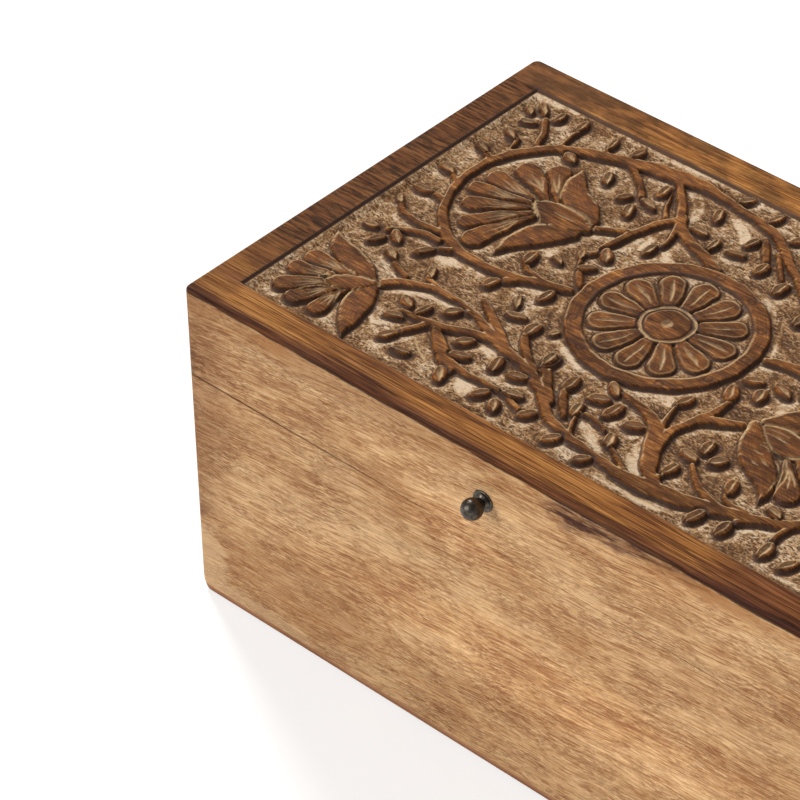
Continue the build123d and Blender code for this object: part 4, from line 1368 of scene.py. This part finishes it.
@dataclass(frozen=True)
class Medallion:
    """The round flower in the lid's middle.

    Attributes:
        x: Its middle.
        y: Its middle.
        ring: The outer radius of the ring round it.
        beads: The radius of the circle on which the ring's punched circles stand.
        bead: The radius of one of them.
        dish: The radius of the sunk dish inside the ring.
        petals: How many petals there are, and circles in the ring.
        first: The angle of the first petal, in degrees.
        petal: The distance from the middle and the width of a petal's points.
        slot: The same for the slot along a petal.
        rays: The distance, the angle from the petal's middle and the width of the points of its two rays.
        boss: The radius of the round boss.
        collar: The radius of the groove round the boss's crown.
        crown: The crown's radius.
        eye: The radius of the hollow in the crown.
    """

    x: float
    y: float
    ring: float = 38.6
    beads: float = 35.1
    bead: float = 1.7
    dish: float = 31.6
    petals: int = 12
    first: float = 4.0
    petal: tuple[Point, ...] = ((9, 4.2), (14, 7), (19, 9.6), (24.6, 11.7))
    slot: tuple[Point, ...] = ((14, 0.4), (18.5, 1.6), (23, 1.8), (27.2, 0.4))
    rays: tuple[Point, ...] = ((12.5, 0.13, 0.7), (19.5, 0.12, 0.3))
    boss: float = 11.4
    collar: float = 10.2
    crown: float = 9.1
    eye: float = 2.4

    def spot(self, radius: float, turn: float) -> tuple[float, float]:
        """Give a place at a distance from the middle and an angle, in radians."""
        return self.x + radius * math.cos(turn), self.y + radius * math.sin(turn)

    def disc(self, relief: Relief, radius: float) -> Reach:
        """Measure a round outline about the middle."""
        return relief.oval(self.x, self.y, 0.0, 2 * radius, 2 * radius)

    def carve_ring(self, relief: Relief) -> None:
        """Carve the ring, whose grain runs round, and sink the dish inside it.

        Args:
            relief: The carving so far.
        """
        ring = self.disc(relief, self.ring)
        relief.lay(ring, Cut(1.7, dome=0.0, tone=0.6))
        at, far = ring.window, ring.gap + self.ring
        within = far < self.ring
        relief.along[at][within] = (np.arctan2(ring.across, ring.along) * 35.0)[within]
        relief.across[at][within] = (far - 35.0)[within]
        rim = far - self.dish
        relief.height[at] = np.where(rim < 0, 0.75 + 0.85 * ease(rim, -0.6, 0.0), relief.height[at])
        relief.lime[at][rim < -0.5] = 0.9
        relief.near[at] = np.where(far < self.dish + 3.2, -rim, relief.near[at])

    def carve_petal(self, relief: Relief, turn: float) -> None:
        """Carve one petal with its slot and rays, and the punched circle beyond it.

        Args:
            relief: The carving so far.
            turn: The petal's angle, in radians.
        """
        reach = relief.measure([(*self.spot(radius, turn), width) for radius, width in self.petal])
        relief.lay(reach, Cut(1.45, dome=0.2, line=0.5, deep=0.7, seam=0.45, tone=0.7, glow=0.4, band=1.1))
        rim = np.exp(-(((reach.gap + 1.35) / 0.28) ** 2)) * ease(reach.along, 4, 12)
        relief.height[reach.window] -= 0.16 * rim
        relief.cut[reach.window] = np.maximum(relief.cut[reach.window], 0.4 * rim)
        relief.groove([(*self.spot(radius, turn), width) for radius, width in self.slot], 0.5, 0.8)
        for side in (-1, 1):
            ray = [(*self.spot(radius, turn + side * aside), width) for radius, aside, width in self.rays]
            relief.groove(ray, 0.25, 0.0, 0.35)
        circle = relief.oval(*self.spot(self.beads, turn), 0.0, 2 * self.bead, 2 * self.bead)
        circle.gap, circle.half = np.abs(circle.gap + 0.1) - 0.32, np.full_like(circle.gap, 0.3)
        relief.score(circle, 0.4, 0.0, 0.6)

    def carve(self, relief: Relief) -> None:
        """Carve the ring, the petals and the boss.

        Args:
            relief: The carving so far.
        """
        self.carve_ring(relief)
        for number in range(self.petals):
            self.carve_petal(relief, math.radians(360 / self.petals * number + self.first))
        boss = Cut(1.65, wall=0.6, dome=0.0, line=0.5, deep=0.6, tone=0.3)
        relief.lay(self.disc(relief, self.boss), boss)
        collar = self.disc(relief, self.collar)
        collar.gap, collar.half = np.abs(collar.gap) - 0.8, np.full_like(collar.gap, 0.8)
        relief.score(collar, 0.35, 0.9)
        crown = Cut(1.7, wall=0.6, dome=0.1, line=0.4, deep=0.6, tone=0.7)
        relief.lay(self.disc(relief, self.crown), crown)
        relief.score(self.disc(relief, self.eye), 0.5, 0.7)


@dataclass
class CarvedLid:
    """The lid's top board: a plain rim round a sunk, carved panel.

    Attributes:
        top: The height of the rim, in millimetres.
        depth: How far the carved ground lies below the rim.
        half_panel: Half the carved panel's length and depth.
        cell: The size of the carving's smallest facet.
        cells: How many facets each of the four carved tiles has along x and y.
        bed: The height of the tiles' undersides.
        corner: The radius of the board's upright corners.
        arris: The radius of its top edges.
    """

    finishes: Finishes
    top: float = TOP
    depth: float = 2.0
    half_panel: tuple[float, float] = (135.0, 84.5)
    cell: float = 0.35
    cells: tuple[int, int] = (390, 246)
    bed: float = 144.0
    corner: float = 3.0
    arris: float = 1.4
    pattern: Pattern = field(default_factory=Pattern)

    def carve_lobes(self, relief: Relief) -> None:
        """Carve the lobes of the flowers, each with three flutes that spread from its root.

        Args:
            relief: The carving so far.
        """
        lobe = Cut(1.5, dome=0.3, line=0.6, deep=0.7, tone=0.6, glow=0.4, band=1.1)
        for points in self.pattern.repeated(self.pattern.lobes):
            relief.lay(relief.measure(points), lobe)
            root, middle, tip = (np.array(point[:2], dtype=float) for point in points)
            wide = points[2][2]
            out_x, out_y = (tip - middle) / math.hypot(*(tip - middle))
            aside = np.array((-out_y, out_x))
            for side, reach, width in ((0.0, 0.75, 1.5), (-0.24, 0.45, 1.2), (0.25, 0.55, 1.3)):
                flute = ((*(root + 0.45 * (middle - root)), 0.3),
                         (*(middle + 0.55 * side * wide * aside), width),
                         (*(middle + reach * (tip - middle) + side * wide * aside), 0.3))
                relief.groove(flute, 0.55, 0.8)

    def carve_pod(self, relief: Relief, x: float, y: float, turn: float, long: float, wide: float) -> None:
        """Carve one pod with its pale slit.

        Args:
            relief: The carving so far.
            x: Its middle.
            y: Its middle.
            turn: The angle of its long axis, in degrees.
            long: Its length.
            wide: Its width.
        """
        relief.lay(relief.oval(x, y, turn, long, 0.95 * wide), Cut(1.55, wall=0.9, dome=0.35, tone=0.9))
        c, s = math.cos(math.radians(turn)), math.sin(math.radians(turn))
        sway = 0.3 * math.sin(3.1 * x + 1.7 * y)
        width = 1.9 + 0.4 * math.sin(2.3 * x - 0.9 * y)
        spots = ((-0.42, sway, 0.2), (-0.14, 0.0, width), (0.16, 0.1, width), (0.42, -sway, 0.2))
        slit = [(x + r * long * c - q * s, y + r * long * s + q * c, w) for r, q, w in spots]
        relief.groove(slit, 0.75, 0.85)

    def carve_border(self, relief: Relief) -> None:
        """Raise the plain rim round the panel, and the ground beside it at the left and the back.

        Args:
            relief: The carving so far.
        """
        half_x, half_y = self.half_panel
        out = np.maximum(np.abs(relief.flat_x) - half_x, np.abs(relief.flat_y) - half_y)
        far_side = np.maximum(-relief.flat_x - half_x, relief.flat_y - half_y)
        relief.height = np.maximum(relief.height, 1.25 * ease(far_side, -4.5, -0.5))
        near = np.minimum(relief.near, np.maximum(0.5 - out, -0.2))
        rim = Reach(EVERYWHERE, -out, relief.y, relief.x, np.full_like(out, 9.0))
        relief.lay(rim, Cut(self.depth, dome=0.0, line=0.6, deep=0.15))
        relief.near = near
        relief.carved = 1 - ease(out, -0.1, 0.1)
        relief.height = np.minimum(relief.height, self.depth)

    def shadow(self, relief: Relief) -> None:
        """Note which way the ground falls from each motif, and paint a highlight on the scooped ground in
        front of them.

        Args:
            relief: The carving so far.
        """
        slope_x, slope_y = np.gradient(relief.near, self.cell)
        size = np.hypot(slope_x, slope_y) + 1e-6
        relief.lee = facing(LEE, slope_x, slope_y) / size
        relief.hug = np.clip(4.0 - relief.near, 0.0, 8.0)
        front = facing(FOREWARD, slope_x, slope_y) / size
        band = ease(relief.near, 4.2, 2.6) * ease(relief.near, 0.6, 1.6)
        # Painted highlight on the ground in front of each motif, and on the listed strips.
        relief.scoop_highlight = 0.6 * band * ease(front, 0.2, 0.8)
        for points in self.pattern.repeated(self.pattern.scoop_highlights):
            reach = relief.measure(points)
            strip_highlight = ease(-reach.gap, -0.9, 0.4)
            relief.scoop_highlight[reach.window] = np.maximum(relief.scoop_highlight[reach.window], strip_highlight)

    def carve(self) -> Relief:
        """Carve the whole panel.

        Returns:
            The relief, with heights measured up from the ground.
        """
        relief = Relief(self.cells[0] * self.cell, self.cells[1] * self.cell, self.cell)
        self.carve_lobes(relief)
        vines = relief.join([relief.measure(points) for points in self.pattern.vines()])
        relief.lay(vines, Cut(1.75, dome=0.12))
        leaf = Cut(1.6, dome=0.45, seam=0.75, tone=0.8, glow=0.75, band=1.9)
        for points in self.pattern.leaves():
            relief.lay(relief.measure(points), leaf)
        for pod in self.pattern.seeds():
            self.carve_pod(relief, *pod)
        for points in self.pattern.veins():
            relief.groove(points, 0.6, 0.95)
        Medallion(*self.pattern.middle).carve(relief)
        self.carve_border(relief)
        self.shadow(relief)
        return relief

    def tile(self, relief: Relief, column: int, row: int) -> bpy.types.Object:
        """Build one quarter of the carved panel.

        Args:
            relief: The carving.
            column: 0 for the left half, 1 for the right.
            row: 0 for the front half, 1 for the back.

        Returns:
            The tile, a closed block with its carved top.
        """
        long, deep = self.cells
        shape = bmesh.new()
        bmesh.ops.create_grid(shape, x_segments=long, y_segments=deep, size=0.5)
        rim = [edge for edge in shape.edges if edge.is_boundary]
        skirt = bmesh.ops.extrude_edge_only(shape, edges=rim)["geom"]
        bmesh.ops.translate(shape, verts=only(bmesh.types.BMVert, skirt), vec=(0, 0, -1))
        bmesh.ops.contextual_create(shape, geom=only(bmesh.types.BMEdge, skirt))
        bmesh.ops.recalc_face_normals(shape, faces=shape.faces)
        name = f"lid_carving_{('front', 'back')[row]}_{('left', 'right')[column]}"
        piece = new_piece(name, shape, self.finishes.top)
        mesh = piece.data
        spots = np.empty(len(mesh.vertices) * 3)
        mesh.vertices.foreach_get("co", spots)
        spots = spots.reshape(-1, 3)
        ix = np.rint((spots[:, 0] + 0.5) * long).astype(int) + column * long
        iy = np.rint((spots[:, 1] + 0.5) * deep).astype(int) + row * deep
        z = np.where(spots[:, 2] < -0.5, self.bed, self.top - self.depth + relief.height[ix, iy])
        lifted = np.stack([(ix - long) * self.cell, (iy - deep) * self.cell, z], axis=1)
        mesh.vertices.foreach_set("co", (lifted * MM).ravel())
        for label in ("lime", "stain", "cut", "tone", "carved", "scoop_highlight", "hug", "lee"):
            layer = mesh.attributes.new(label, "FLOAT", "POINT")
            layer.data.foreach_set("value", getattr(relief, label)[ix, iy])
        flow = np.stack([relief.across[ix, iy], relief.along[ix, iy], np.zeros(len(ix))], axis=1)
        mesh.attributes.new("flow", "FLOAT_VECTOR", "POINT").data.foreach_set("vector", flow.ravel())
        for polygon in mesh.polygons:
            polygon.use_smooth = abs(polygon.normal.z) > 0.05 or len(polygon.vertices) == 4
        mesh.update()
        return piece

    def board(self) -> bpy.types.Object:
        """Build the rim board, with a sunk bed for the carved tiles.

        Returns:
            The board, a closed solid with eased top edges and rounded upright corners.
        """
        low, high = (Vector(corner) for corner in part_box("lid_top"))
        shape = rounded_board(low, high, self.corner, 6)
        round_edges(shape, level_edges(shape, high.z), self.arris, 4)
        top = max(shape.faces, key=lambda face: face.calc_area() if face.normal.z > 0.9 else 0.0)
        outer = list(top.edges)
        bed = bmesh.ops.create_grid(shape, x_segments=1, y_segments=1, size=0.5)["verts"]
        bmesh.ops.scale(shape, verts=bed, vec=(*(2 * count * self.cell * MM for count in self.cells), 1))
        bmesh.ops.translate(shape, verts=bed, vec=(0, 0, self.top * MM))
        bmesh.ops.delete(shape, geom=[top], context="FACES_ONLY")
        floor = bed[0].link_faces[0]
        bmesh.ops.bridge_loops(shape, edges=[*outer, *floor.edges])
        sunk = bmesh.ops.extrude_face_region(shape, geom=[floor])["geom"]
        drop = (self.bed - self.top - 0.05) * MM
        bmesh.ops.translate(shape, verts=only(bmesh.types.BMVert, sunk), vec=(0, 0, drop))
        bmesh.ops.delete(shape, geom=[floor], context="FACES_ONLY")
        bmesh.ops.recalc_face_normals(shape, faces=shape.faces)
        return new_piece("lid_rim_board", shape, self.finishes.top, smooth=False)

    def build(self) -> None:
        """Build the board and its four carved tiles, in place of the plain one."""
        board = self.board()
        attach(board, "lid")
        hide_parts("lid_top")
        relief = self.carve()
        for column in (0, 1):
            for row in (0, 1):
                piece = self.tile(relief, column, row)
                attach(piece, "lid")


# ---- Fittings ----------------------------------------------------------------------------------------


@dataclass
class Knob:
    """The small iron knob on the lid's front: a ball on a neck, seated on a domed rosette.

    Attributes:
        middle: The knob's axis on the front face, in millimetres.
        ball: The ball's radius.
        reach: How far the ball's middle stands in front of the face.
        neck: The neck's radius.
        stem: The stem's radius.
        tail: How far the stem goes in behind the face.
        play: How much wider than the stem the rosette's hole is, on each side.
    """

    finishes: Finishes
    middle: Triple = (0.0, FACE, 129.7)
    ball: float = 4.25
    reach: float = 6.1
    neck: float = 1.9
    stem: float = 1.5
    tail: float = 14.3
    play: float = 0.15

    def lathe(self, name: str, profile: Sequence[tuple[float, float]], steps: int = 64) -> bpy.types.Object:
        """Turn a profile about the knob's axis.

        Args:
            name: The piece's name.
            profile: Radius, and distance in front of the face, from one end of the axis to the other.
            steps: How many sides it gets.

        Returns:
            The turned piece.
        """
        x, y, z = (value * MM for value in self.middle)
        shape = bmesh.new()
        spots = [shape.verts.new((x + r * MM, y - d * MM, z)) for r, d in profile]
        edges = [shape.edges.new(pair) for pair in zip(spots, spots[1:])]
        bmesh.ops.spin(shape, geom=[*spots, *edges], cent=(x, y, z), axis=(0, 1, 0), angle=2 * math.pi,
                       steps=steps, use_merge=True)
        bmesh.ops.remove_doubles(shape, verts=shape.verts, dist=1e-6)
        bmesh.ops.recalc_face_normals(shape, faces=shape.faces)
        return new_piece(name, shape, self.finishes.iron)

    def knob(self) -> bpy.types.Object:
        """Turn the ball, its neck and its stem.

        Returns:
            The knob.
        """
        around = [math.radians(angle) for angle in range(5, 156, 5)]
        ball = [(self.ball * math.sin(a), self.reach + self.ball * math.cos(a)) for a in around]
        waist = [(self.neck, self.reach - self.ball * 0.93), (self.neck, 1.9), (self.stem, 1.2)]
        end = [(self.stem, 0.3 - self.tail), (self.stem - 0.25, -self.tail), (0.0, -self.tail)]
        return self.lathe("knob_turned", [(0.0, self.reach + self.ball), *ball, *waist, *end])

    def rosette(self) -> bpy.types.Object:
        """Turn the rosette: a rolled rim, a shallow hollow and a dome up to the hole.

        Returns:
            The rosette.
        """
        low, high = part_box("knob_rosette")
        rim = (high[0] - low[0]) / 2 / MM
        proud = self.middle[1] - low[1] / MM
        hole = self.stem + self.play
        roll = [(rim - 0.2, 0.0), (rim, 0.25), (rim - 0.05, 0.55), (rim - 0.35, 0.8), (rim - 0.75, 0.82)]
        dome = [(rim - 1.0, 0.7), (rim - 1.5, 1.2), (rim - 2.2, proud - 0.15), (self.stem + 0.6, proud)]
        profile = [(hole, 0.0), *roll, *dome, (hole, proud - 0.1), (hole, 0.0)]
        return self.lathe("knob_rosette_turned", profile)

    def build(self) -> None:
        """Build the knob with its stem, and the rosette."""
        for piece, node in ((self.knob(), "knob"), (self.rosette(), "knob_rosette")):
            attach(piece, "lid")
            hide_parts(node)


@dataclass
class WornCorner:
    """The base's front board and bottom, with their lower left corner rounded by wear.

    Attributes:
        reach: How far in from the side the rounding comes, in millimetres.
        rise: How far up it goes.
        upright: The radius of the upright corners.
        foot: The radius of the bottom's lower edge.
        fade: How far along the front it has died away.
        turns: How many steps the rounding is drawn in.
    """

    finishes: Finishes
    reach: float = 3.8
    rise: float = 6.5
    upright: float = 3.0
    foot: float = 1.0
    fade: float = 18.0
    turns: int = 8

    def wear(self, shape: bmesh.types.BMesh, low: Vector, thick: float) -> None:
        """Round the corner.

        Args:
            shape: The board.
            low: The lower left front corner of the box.
            thick: The thickness of the front board.
        """
        heights = [1 - math.sin(turn * math.pi / 2 / self.turns) for turn in range(self.turns)]
        cuts = [((0, 0, low.z + self.rise * MM * height), (0, 0, 1)) for height in heights]
        cuts += [((0, low.y + thick * turn / self.turns, 0), (0, 1, 0)) for turn in range(1, self.turns)]
        cuts.append(((low.x + self.fade * MM, 0, 0), (1, 0, 0)))
        for spot, normal in cuts:
            bmesh.ops.bisect_plane(shape, geom=[*shape.verts, *shape.edges, *shape.faces], dist=1e-7,
                                   plane_co=spot, plane_no=normal)
        spans = (self.fade * MM, thick, self.rise * MM)
        for vert in shape.verts:
            left, out, down = (min(1.0, max(0.0, 1 - (place - start) / span))
                               for place, start, span in zip(vert.co, low, spans))
            vert.co.x += self.reach * MM * (1 - math.sqrt(1 - down * down)) * out * (2 - out) * left

    def build(self) -> None:
        """Build the front board and the bottom again, with the worn corner."""
        front_low, front_high = (Vector(corner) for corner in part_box("base_front"))
        low, high = (Vector(corner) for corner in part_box("base_bottom"))
        front = rounded_board(front_low, front_high, self.upright, self.turns, front_low.y + MM)
        bottom = rounded_board(low, high, self.upright, self.turns)
        round_edges(bottom, level_edges(bottom, low.z), self.foot, 3)
        for node, shape, finish, slot in (("base_front", front, self.finishes.front, "mango_wood"),
                                          ("base_bottom", bottom, self.finishes.ply, "ply")):
            self.wear(shape, low, front_high.y - front_low.y)
            bmesh.ops.recalc_face_normals(shape, faces=shape.faces)
            piece = new_piece(f"{node}_worn", shape, finish)
            piece.data.set_sharp_from_angle(angle=math.radians(30.0))
            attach(piece, "base")
            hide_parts(node)


@dataclass
class Case:
    """The boards, hinges and screws, which keep their made shapes."""

    finishes: Finishes

    def build(self) -> None:
        """Dress each part."""
        for name in ("base_back", "lid_front", "lid_back"):
            dress(name, self.finishes.front)
        for name in ("base_left", "base_right", "lid_left", "lid_right"):
            dress(name, self.finishes.side)
        for side in ("left", "right"):
            for part in ("hinge_base_leaf", "hinge_lid_leaf", "hinge_pin"):
                dress(f"{part}_{side}", self.finishes.iron)
        for name in ("hinge_screws_base", "hinge_screws_lid"):
            dress(name, self.finishes.steel)
        for name in ("knob_washer", "knob_nut"):
            dress(name, self.finishes.iron)


# ---- Studio ------------------------------------------------------------------------------------------


@dataclass
class Studio:
    """The camera, the floor and the light.

    Attributes:
        spot: The camera's place, in metres.
        bearing: How far round from the front it stands, in degrees.
        pitch: How steeply it looks down, in degrees.
        roll: How far it leans, in degrees.
        lens: Its focal length, in millimetres.
        frame_width: The width of its picture area, in millimetres.
        floor_size: Half the floor's width, in metres.
        pale: The floor's tone as it lights the box.
        seen_pale: Its tone as the camera sees it, which its glow makes up to white.
        glow: That glow's strength.
        fill: The strength of the plain light from all round.
    """

    spot: Triple = (0.6691, -0.8615, 0.9998)
    bearing: float = 43.006
    pitch: float = 39.120
    roll: float = -1.042
    lens: float = 168.38
    frame_width: float = 36.0
    floor_size: float = 4.0
    pale: Colour = (0.86, 0.86, 0.86)
    seen_pale: Colour = (0.46, 0.46, 0.46)
    glow: float = 0.66
    fill: float = 0.40

    def camera(self) -> None:
        """Set up the camera."""
        data = bpy.data.cameras.new("camera")
        data.lens = self.lens
        data.sensor_width = self.frame_width
        data.clip_start, data.clip_end = 0.05, 50.0
        bearing, pitch, roll = (math.radians(angle) for angle in (self.bearing, self.pitch, self.roll))
        level_part = math.cos(pitch)
        ahead = Vector((-math.sin(bearing) * level_part, math.cos(bearing) * level_part, -math.sin(pitch)))
        level = ahead.cross(Vector((0, 0, 1))).normalized()
        right = level * math.cos(roll) + level.cross(ahead) * math.sin(roll)
        view = Matrix((right, right.cross(ahead), -ahead)).transposed().to_4x4()
        view.translation = self.spot
        camera = bpy.data.objects.new("camera", data)
        camera.matrix_world = view
        bpy.context.scene.collection.objects.link(camera)
        bpy.context.scene.camera = camera

    def floor(self) -> None:
        """Lay the pale floor."""
        shape = bmesh.new()
        bmesh.ops.create_grid(shape, x_segments=2, y_segments=2, size=self.floor_size)
        g = Graph(bpy.data.materials.new("studio_floor"))
        path = g.node("ShaderNodeLightPath").outputs
        seen = g.most(path["Is Camera Ray"], g.most(path["Is Glossy Ray"], path["Is Transmission Ray"]))
        matt = g.node("ShaderNodeBsdfDiffuse", {"Color": g.mix(seen, self.pale, self.seen_pale)})
        glow = g.node("ShaderNodeEmission", {"Color": (1, 1, 1, 1), "Strength": g.times(seen, self.glow)})
        both = g.node("ShaderNodeAddShader", {0: matt.outputs[0], 1: glow.outputs[0]})
        g.node("ShaderNodeOutputMaterial", {0: both.outputs[0]})
        new_piece("studio_floor", shape, g.owner, smooth=False)

    def lamp(self, name: str, strength: float, towards: Triple, soft: float) -> None:
        """Hang one broad lamp.

        Args:
            name: The lamp's name.
            strength: How bright it is.
            towards: The way its light travels.
            soft: The width of the lamp as seen from the box, in degrees.
        """
        data = bpy.data.lights.new(name, "SUN")
        data.energy = strength
        data.angle = math.radians(soft)
        lamp = bpy.data.objects.new(name, data)
        lamp.rotation_euler = Vector(towards).to_track_quat("-Z", "Y").to_euler()
        bpy.context.scene.collection.objects.link(lamp)

    def world(self) -> None:
        """Set the plain surround: soft fill, and white where it is seen."""
        world = bpy.data.worlds.new("studio")
        bpy.context.scene.world = world
        g = Graph(world)
        path = g.node("ShaderNodeLightPath").outputs
        seen = g.most(path["Is Camera Ray"], path["Is Transmission Ray"])
        strength = g.node("ShaderNodeMapRange", {0: seen, "To Min": self.fill, "To Max": 1.0}).outputs[0]
        light = g.node("ShaderNodeBackground", {"Strength": strength}).outputs[0]
        g.node("ShaderNodeOutputWorld", {0: light})

    def build(self) -> None:
        """Set up the whole studio."""
        self.camera()
        self.floor()
        self.world()
        self.lamp("lamp_back_left", 2.35, (0.60, -0.35, -0.72), 12.0)
        self.lamp("lamp_front", 1.44, (0.42, 0.80, -0.43), 28.0)
        bpy.context.scene.view_settings.view_transform = "Standard"


def main() -> None:
    """Build the box and its studio."""
    logging.basicConfig(level=logging.INFO, format="%(levelname)s %(name)s: %(message)s")
    Studio().build()
    finishes = Finishes()
    Case(finishes).build()
    WornCorner(finishes).build()
    CarvedLid(finishes).build()
    Knob(finishes).build()


if __name__ == "__main__":
    main()
